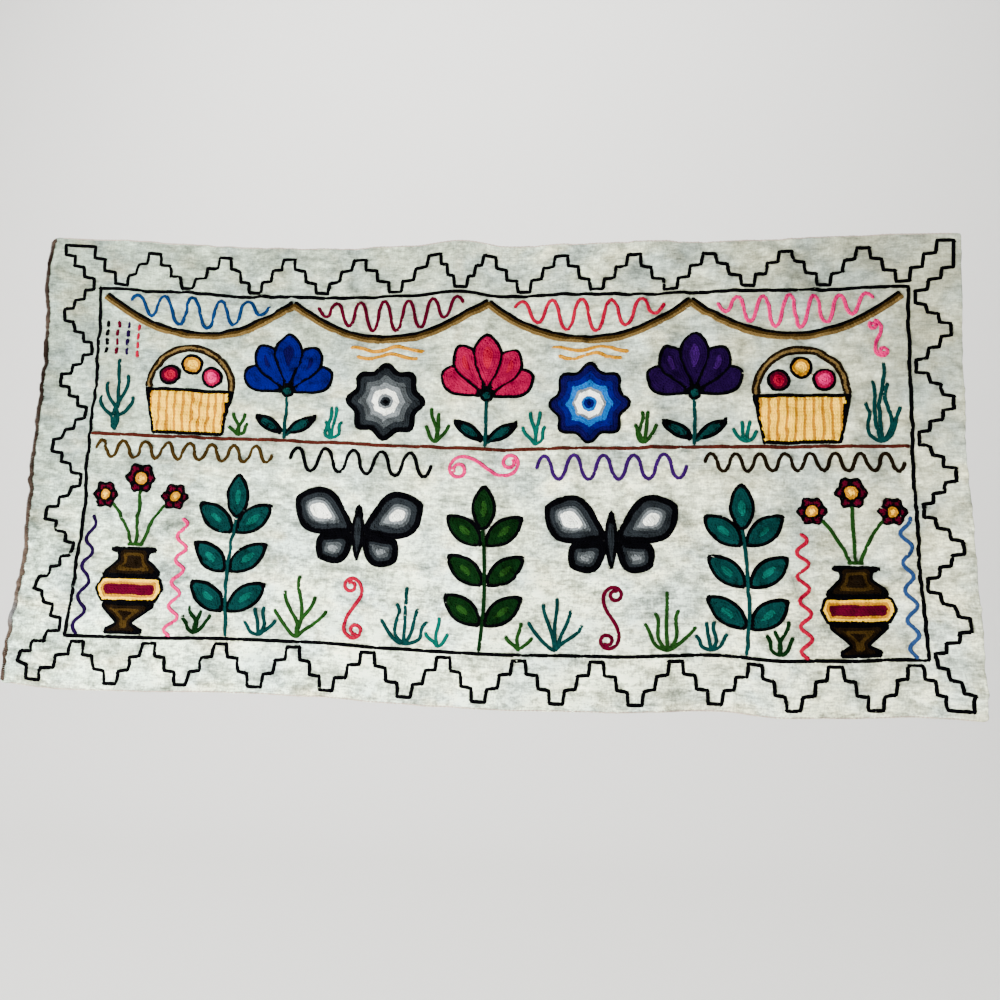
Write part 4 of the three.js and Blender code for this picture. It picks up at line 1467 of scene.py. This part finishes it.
# Adds the cloth: front and back on the same grid, closed round the rim by a turned edge
def makeCloth():
    count = gridS.size
    index = np.arange(count).reshape(gridS.shape)
    a, b = index[:-1, :-1].ravel(), index[:-1, 1:].ravel()
    c, d = index[1:, 1:].ravel(), index[1:, :-1].ravel()
    faces = [tuple(f) for f in np.stack([a, d, c, b], axis=1)]
    faces += [tuple(f) for f in np.stack([a, b, c, d], axis=1) + count]
    ring = np.concatenate([index[0, :-1], index[:-1, -1], index[-1, :0:-1], index[:0:-1, 0]])
    points = np.vstack([frontGrid.reshape(-1, 3), backGrid.reshape(-1, 3)])
    between = (points[ring] + points[ring + count]) / 2
    outward = np.cross(np.roll(between, -1, axis=0) - np.roll(between, 1, axis=0), (0.0, 1.0, 0.0))
    outward /= np.linalg.norm(outward, axis=1)[:, None]
    for k, front in enumerate(ring):
        n = (k + 1) % len(ring)
        rim, rimNext = 2 * count + k, 2 * count + n
        faces.append((front, ring[n], rimNext, rim))
        faces.append((rim, rimNext, ring[n] + count, front + count))
    points = np.vstack([points, between + outward * relief["rim"]])
    flat = np.tile(np.stack([placeS.ravel(), gridT.ravel(), np.zeros(count)], axis=1), (2, 1))
    piece = newObject("clothPanel", points * mm, faces=faces)
    keep(piece.data, "flatPlace", "FLOAT_VECTOR", np.vstack([flat, flat[ring]]) * mm)
    # Under the fills the front takes their yarn colour, darkened as painted shade between the rows, so that
    # no pale cloth shows between them
    under = np.zeros((len(points), 4))
    byFill = nearFill.ravel() < relief["underFill"]
    under[:count, :3] = np.where(byFill[:, None], fillColour, nearColour) * relief["underPaintedShade"]
    under[:count, 3] = byFill | insideShape.ravel()
    keep(piece.data, "underYarn", "FLOAT_COLOR", under)
    piece.data.shade_smooth()
    return piece


clothPanel = makeCloth()
print("cloth made")

# Undyed wool, woven plain and a little fulled. Sizes are in metres on the flat cloth. A name with four
# numbers is a range: from and to, and what the shader makes of them
woolFinish = {
    "roughness": 0.93, "sheen": 0.05, "sheenRoughness": 0.5, "shine": 0.1,
    "left": (0.69, 0.84, 0.64), "right": (0.78, 0.81, 0.57), "sideShare": (-0.5, 0.5, 0.0, 1.0),
    "grey": (0.45, 0.58, 0.56), "greySize": (0.07, 0.07), "greyShare": (0.43, 0.62, 0.0, 0.6),
    "cream": (0.86, 0.84, 0.53), "creamSize": (0.056, 0.035), "creamShare": (0.52, 0.7, 0.0, 0.6),
    # Painted shade: darker to the top, and towards the left and the right sides
    "upShare": (-0.5, -0.02, 0.0, 1.0), "topShade": 0.43, "topCurve": 0.7,
    "leftShade": (-0.575, -0.1, 0.62, 1.0), "rightShade": (0.15, 0.5, 1.0, 0.8),
    # Soft marks in the tone: the size of each kind, and how far it reaches either way
    "marks": (
        ((0.050, 0.036), 0.36), ((0.018, 0.009), 0.36), ((0.011, 0.0020), 0.24), ((0.0020, 0.011), 0.16),
        ((0.0062, 0.0045), 0.30), ((0.0024, 0.0022), 0.24),
    ),
    "markFrom": 0.3, "markTo": 0.7, "palest": 1.3,
    "lowContrast": (0.1, 0.6, 1.5, 1.0), "rightContrast": (0.2, 0.5, 1.0, 0.78),
    "stain": (0.62, 0.50, 0.30), "stainAt": (-0.034, -0.12), "stainSize": (0.010, 0.16),
    "stainShare": (0.0, 1.0, 0.3, 0.0), "stainMottle": (0.3, 0.6, 0.2, 1.0), "mottleSize": (0.012, 0.012),
    "hemStain": (-0.573, -0.560, 0.35, 0.0), "hemMottle": (0.5, 0.65, 0.0, 1.0), "hemSize": (0.09, 0.09),
    "nep": (0.10, 0.07, 0.05), "nepSize": 0.026,
    "nepChosen": (0.62, 0.66, 0.0, 0.75), "nepReach": (0.015, 0.05, 1.0, 0.0),
    "tickPitch": 0.0052, "tickReach": (-0.575, -0.558, 1.0, 0.0), "tickShadeShare": (0.2, 1.0, 0.0, 0.35),
    "wander": 9.0, "wanderSize": (0.02, 0.012), "covered": (0.5, 0.9, 0.0, 1.0),
    # Relief: heights are shares of the bump's
    "bump": 0.7, "bumpHeight": 0.0004, "weaveScale": 900.0, "weaveHeight": 0.5,
    "fuzzSize": (0.0007, 0.0007), "fuzzHeight": 1.2, "weftSize": (0.011, 0.0020), "weftHeight": 2.2,
    "tickHeight": -0.8,
}


def clothMaterial():
    finish = woolFinish
    material, tree, shader = newMaterial("undyed wool cloth", finish)
    flat = put(tree, "ShaderNodeAttribute", attribute_name="flatPlace", out="Vector")
    apart = put(tree, "ShaderNodeSeparateXYZ", flat).node.outputs
    across, down = apart["X"], apart["Y"]

    def times(first, second):
        return maths(tree, "MULTIPLY", first, second)

    def flatTimes(*scales):
        return put(tree, "ShaderNodeVectorMath", flat, scales + (1.0,), operation="MULTIPLY")

    def noiseOf(size, detail=3.0):
        place = flatTimes(1.0 / size[0], 1.0 / size[1])
        return put(tree, "ShaderNodeTexNoise", Vector=place, Scale=1.0, Detail=detail)

    def mapped(value, *numbers):
        return put(tree, "ShaderNodeMapRange", value, *numbers)

    def mixed(share, first, second):
        node = tree.nodes.new("ShaderNodeMix")
        node.data_type = "RGBA"
        give(tree, node.inputs[0], share)
        for socket, value in ((node.inputs[6], first), (node.inputs[7], second)):
            give(tree, socket, value + (1.0,) if isinstance(value, tuple) else value)
        return node.outputs[2]

    # Tone: cooler to the left, in patches, with soft marks along the weft; painted shade makes it darker to
    # the top and towards both sides
    base = mixed(mapped(across, *finish["sideShare"]), finish["left"], finish["right"])
    patch = mapped(noiseOf(finish["greySize"], 4.0), *finish["greyShare"])
    base = mixed(patch, base, finish["grey"])
    base = mixed(mapped(noiseOf(finish["creamSize"]), *finish["creamShare"]), base, finish["cream"])
    up = mapped(down, *finish["upShare"])
    shade = maths(tree, "POWER", up, finish["topCurve"])
    shade = maths(tree, "MULTIPLY_ADD", shade, -finish["topShade"], 1.0)
    shade = times(shade, mapped(across, *finish["rightShade"]))
    shade = times(shade, mapped(across, *finish["leftShade"]))
    marks = 1.0
    for size, reach in finish["marks"]:
        ends = (finish["markFrom"], finish["markTo"], 1.0 - reach, 1.0 + reach)
        marks = times(mapped(noiseOf(size), *ends), marks)
    contrast = times(mapped(up, *finish["lowContrast"]), mapped(across, *finish["rightContrast"]))
    shade = times(shade, maths(tree, "POWER", marks, contrast))
    shade = maths(tree, "MINIMUM", shade, finish["palest"])

    # A faint old stain beside the middle hold, and one along the hem
    away = [
        times(maths(tree, "SUBTRACT", value, place), 1.0 / size)
        for value, place, size in zip((across, down), finish["stainAt"], finish["stainSize"])
    ]
    away = maths(tree, "ADD", *(times(one, one) for one in away))
    mottle = mapped(noiseOf(finish["mottleSize"]), *finish["stainMottle"])
    base = mixed(times(mapped(away, *finish["stainShare"]), mottle), base, finish["stain"])
    mottle = mapped(noiseOf(finish["hemSize"]), *finish["hemMottle"])
    base = mixed(times(mapped(down, *finish["hemStain"]), mottle), base, finish["stain"])

    # A few dark flecks
    fleck = put(tree, "ShaderNodeTexVoronoi", Vector=flat, Scale=1.0 / finish["nepSize"]).node.outputs
    chosen = mapped(fleck["Color"], *finish["nepChosen"])
    base = mixed(times(chosen, mapped(fleck["Distance"], *finish["nepReach"])), base, finish["nep"])

    # Ticks where the whipping draws the left edge up: small dips in the bump, painted grey as shade along
    # them
    wander = times(noiseOf(finish["wanderSize"]), finish["wander"])
    tick = maths(tree, "MULTIPLY_ADD", down, 2 * math.pi / finish["tickPitch"], wander)
    reach = mapped(across, *finish["tickReach"])
    tick = times(maths(tree, "SINE", tick), times(reach, reach))
    base = mixed(mapped(tick, *finish["tickShadeShare"]), base, finish["grey"])
    tint = put(tree, "ShaderNodeVectorMath", base, operation="SCALE", Scale=shade)
    # The front under the fills: yarn colour with painted shade
    under = put(tree, "ShaderNodeAttribute", attribute_name="underYarn").node.outputs
    tint = mixed(mapped(under["Alpha"], *finish["covered"]), tint, under["Color"])
    give(tree, shader["Base Color"], tint)

    # Relief: the weave, its fuzz, the weft's thick places and the ticks
    weave = flatTimes(finish["weaveScale"], finish["weaveScale"])
    weave = put(tree, "ShaderNodeTexChecker", Vector=weave, Scale=1.0, out="Fac")
    height = times(weave, finish["weaveHeight"])
    for value, share in (
        (noiseOf(finish["fuzzSize"], 4.0), finish["fuzzHeight"]),
        (noiseOf(finish["weftSize"], 2.0), finish["weftHeight"]), (tick, finish["tickHeight"]),
    ):
        height = maths(tree, "MULTIPLY_ADD", value, share, height)
    bump = put(
        tree, "ShaderNodeBump", Strength=finish["bump"], Distance=finish["bumpHeight"], Height=height
    )
    give(tree, shader["Normal"], bump)
    return material


clothPanel.data.materials.append(clothMaterial())
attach(clothPanel, "root")
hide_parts("ground_cloth")

chain = chainTree()
for count, (node, one) in enumerate(motifs.items()):
    sizes = dict(chainSizes, Seed=count)
    piece = stitchedPiece(node + "_yarn", one["rows"], one["finish"], chain, sizes)
    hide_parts(node)
for count, (name, one) in enumerate(loose.items()):
    sizes = dict(chainSizes, Seed=100 + count)
    stitchedPiece(name, one["rows"], one["finish"], chain, sizes)

# A fine thread that turns the top and bottom edges over, its tan also a painted shade line along the turned
# edges
hem = {"from": 9.0, "inset": 0.4, "yarn": "hem"}
hemRows = []
for level in (-hem["inset"], hem["inset"] - cloth["height"]):
    ends = np.array([(hem["from"] - half, level), (half - hem["from"], level)])
    hemRows.append((ends, False, hem["yarn"]))
stitchedPiece("hemThread", hemRows, "whipping_yarn", chain, hemSizes)

# The reverse: short stitches under every row
backRows = sum((one["rows"] for one in list(motifs.values()) + list(loose.values())), [])
stitchedPiece("reverseStitches", backRows, "black_yarn", reverseTree(), backSizes, backGrid, -1.0)


# Yarn whipped over the left edge: one bent strand at each step along it
whip = {
    "pitch": 2.1, "reach": 3.2, "strand": 2.1, "lift": 0.55, "out": 1.2, "jitter": 0.1, "seed": 23,
    "ends": 2.5, "step": 2.0, "inset": 0.2, "patch": 12.0, "patchReach": 0.15,
    "paleAt": -488.0, "paleReach": 13.0, "paleShare": 0.6,
    # How light the yarn is, by how far down the edge
    "tone": (
        (0, 0.4), (30, 0.1), (80, 0.2), (115, 0.6), (155, 0.02), (220, 0.15), (300, 0.3), (370, 0.45),
        (420, 0.8), (470, 0.9), (520, 0.7), (540, 0.35), (573, 0.25),
    ),
}
whipSizes = {
    "Pitch": whip["pitch"] * mm, "Strand radius": whip["strand"] / 2 * mm,
    "Jitter": whip["jitter"], "Seed": whip["seed"],
}


def whipTree():
    tree, given = newTree("whipped edge", whipSizes, strand=True)
    path = put(tree, "GeometryNodeObjectInfo", given["Strand"], out="Geometry")
    ring = put(
        tree, "GeometryNodeCurvePrimitiveCircle", Resolution=whipMake["sides"], Radius=given["Strand radius"]
    )
    strand = swept(tree, put(tree, "GeometryNodeMeshToCurve", path), ring)
    swell = maths(tree, "MULTIPLY_ADD", dice(tree, -1.0, 1.0, given["Seed"]), given["Jitter"], 1.0)
    tone = dice(tree, *whipMake["tones"])
    curve = put(tree, "GeometryNodeMeshToCurve", given["Rows"])
    turns = {"Rotation": alongRow(tree), "Scale": swell}
    return ended(tree, given, setAlong(tree, given, curve, strand, tone, **turns))


# One strand round the edge, in a frame of its own: X runs down the edge, Y into the cloth, Z to the front
def whipStrand():
    thick = cloth["thickness"]
    reach, lift, out = whip["reach"], whip["lift"], whip["out"]
    lean = whip["pitch"] * 0.8
    places = np.array([
        (lean, reach + 0.4, -0.5), (lean * 0.9, reach - 0.5, lift), (lean * 0.6, reach * 0.45, lift + 0.1),
        (lean * 0.3, -0.2, lift * 0.8), (0.0, -out, -thick * 0.2), (0.0, -out - 0.1, -thick * 0.8),
        (0.1, -0.2, -thick - lift * 0.8), (0.4, reach * 0.45, -thick - lift - 0.1),
        (0.7, reach - 0.5, -thick - lift), (0.9, reach + 0.4, 0.5 - thick),
    ])
    return newObject("whipStrand", places * mm, [(k, k + 1) for k in range(len(places) - 1)])


# The left edge as a row whose yarn changes slowly along it, with a pale stretch near its foot
def whippedEdge():
    t = np.arange(-whip["ends"], whip["ends"] - cloth["height"], -whip["step"])
    across = np.full(len(t), -half + whip["inset"]) + cornerCut(corners["topLeft"], -t)
    edge = np.stack([across, t], axis=1)
    downTone, tone = np.array(whip["tone"]).T
    patches = whip["patchReach"] * softNoise(t / whip["patch"], t * 0, 1.0, whip["seed"])
    shades = np.clip(np.interp(-t, downTone, tone) + patches, 0, 1)[:, None]
    dark, light, pale = (np.array(yarns[name]) for name in ("whipDark", "whipLight", "silver"))
    colours = dark * (1 - shades) + light * shades
    paleShare = np.exp(-(((t - whip["paleAt"]) / whip["paleReach"]) ** 2))[:, None] * whip["paleShare"]
    colours = colours * (1 - paleShare) + pale * paleShare
    places = readGrid(frontGrid, edge) * mm
    maker = newObject("leftEdge", places, [(k, k + 1) for k in range(len(t) - 1)])
    keep(maker.data, "clothNormal", "FLOAT_VECTOR", readGrid(frontNormals, edge))
    keep(maker.data, "yarnColour", "FLOAT_COLOR", np.hstack([colours, np.ones((len(t), 1))]))
    strand = whipStrand()
    piece = worked(maker, "edgeWhipping", "whipping_yarn", whipTree(), dict(whipSizes, Strand=strand))
    bpy.data.objects.remove(strand)
    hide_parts("edge_whipping")
    return piece


edgeWhipping = whippedEdge()
print("edge whipped")

# Floor and backdrop, and soft light from the left
studio = {
    "floor": -1.35, "back": 3.2, "side": 9.0, "near": -7.0, "top": 6.0, "bend": 1.2, "steps": 12,
    "colour": (0.86, 0.85, 0.82), "roughness": 0.9, "sheen": 0.0, "sheenRoughness": 0.5, "shine": 0.1,
    "air": (0.97, 0.985, 1.0), "airStrength": 0.35,
}
# Each lamp: its place, what it points at, its size, power and colour
lamps = {
    "window": ((-3.6, -2.4, 0.2), (0.0, 0.0, -0.3), (2.0, 2.0), 400.0, (1.0, 0.99, 0.97)),
    "low fill": ((-0.5, -0.9, -1.2), (-0.1, 0.0, -0.5), (0.7, 0.7), 60.0, (1.0, 1.0, 1.0)),
    "wall": ((-0.3, 0.3, 4.0), (0.0, 3.2, -0.6), (5.0, 1.5), 330.0, (1.0, 1.0, 1.0)),
}


def makeStudio():
    profile = [(studio["near"], studio["floor"])]
    for k in range(studio["steps"] + 1):
        a = math.pi / 2 * k / studio["steps"]
        y = studio["back"] - studio["bend"] + studio["bend"] * math.sin(a)
        profile.append((y, studio["floor"] + studio["bend"] * (1 - math.cos(a))))
    profile.append((studio["back"], studio["top"]))
    points = [(x, y, z) for x in (-studio["side"], studio["side"]) for y, z in profile]
    wide = len(profile)
    cove = newObject("studio", points, faces=[(k, k + wide, k + wide + 1, k + 1) for k in range(wide - 1)])
    cove.data.shade_smooth()
    material, tree, shader = newMaterial("studio", studio)
    give(tree, shader["Base Color"], studio["colour"] + (1.0,))
    cove.data.materials.append(material)


def addLight(name, place, aim, size, power, colour):
    data = bpy.data.lights.new(name, "AREA")
    data.shape = "RECTANGLE"
    data.size, data.size_y = size
    data.energy = power
    data.color = colour
    light = bpy.data.objects.new(name, data)
    light.location = place
    light.rotation_euler = (Vector(aim) - Vector(place)).to_track_quat("-Z", "Y").to_euler()
    bpy.context.scene.collection.objects.link(light)


makeStudio()
for name, lamp in lamps.items():
    addLight(name, *lamp)
world = bpy.data.worlds.new("studio air")
world.use_nodes = True
air = world.node_tree.nodes["Background"].inputs
air["Color"].default_value = studio["air"] + (1.0,)
air["Strength"].default_value = studio["airStrength"]
bpy.context.scene.world = world
print("studio lit")
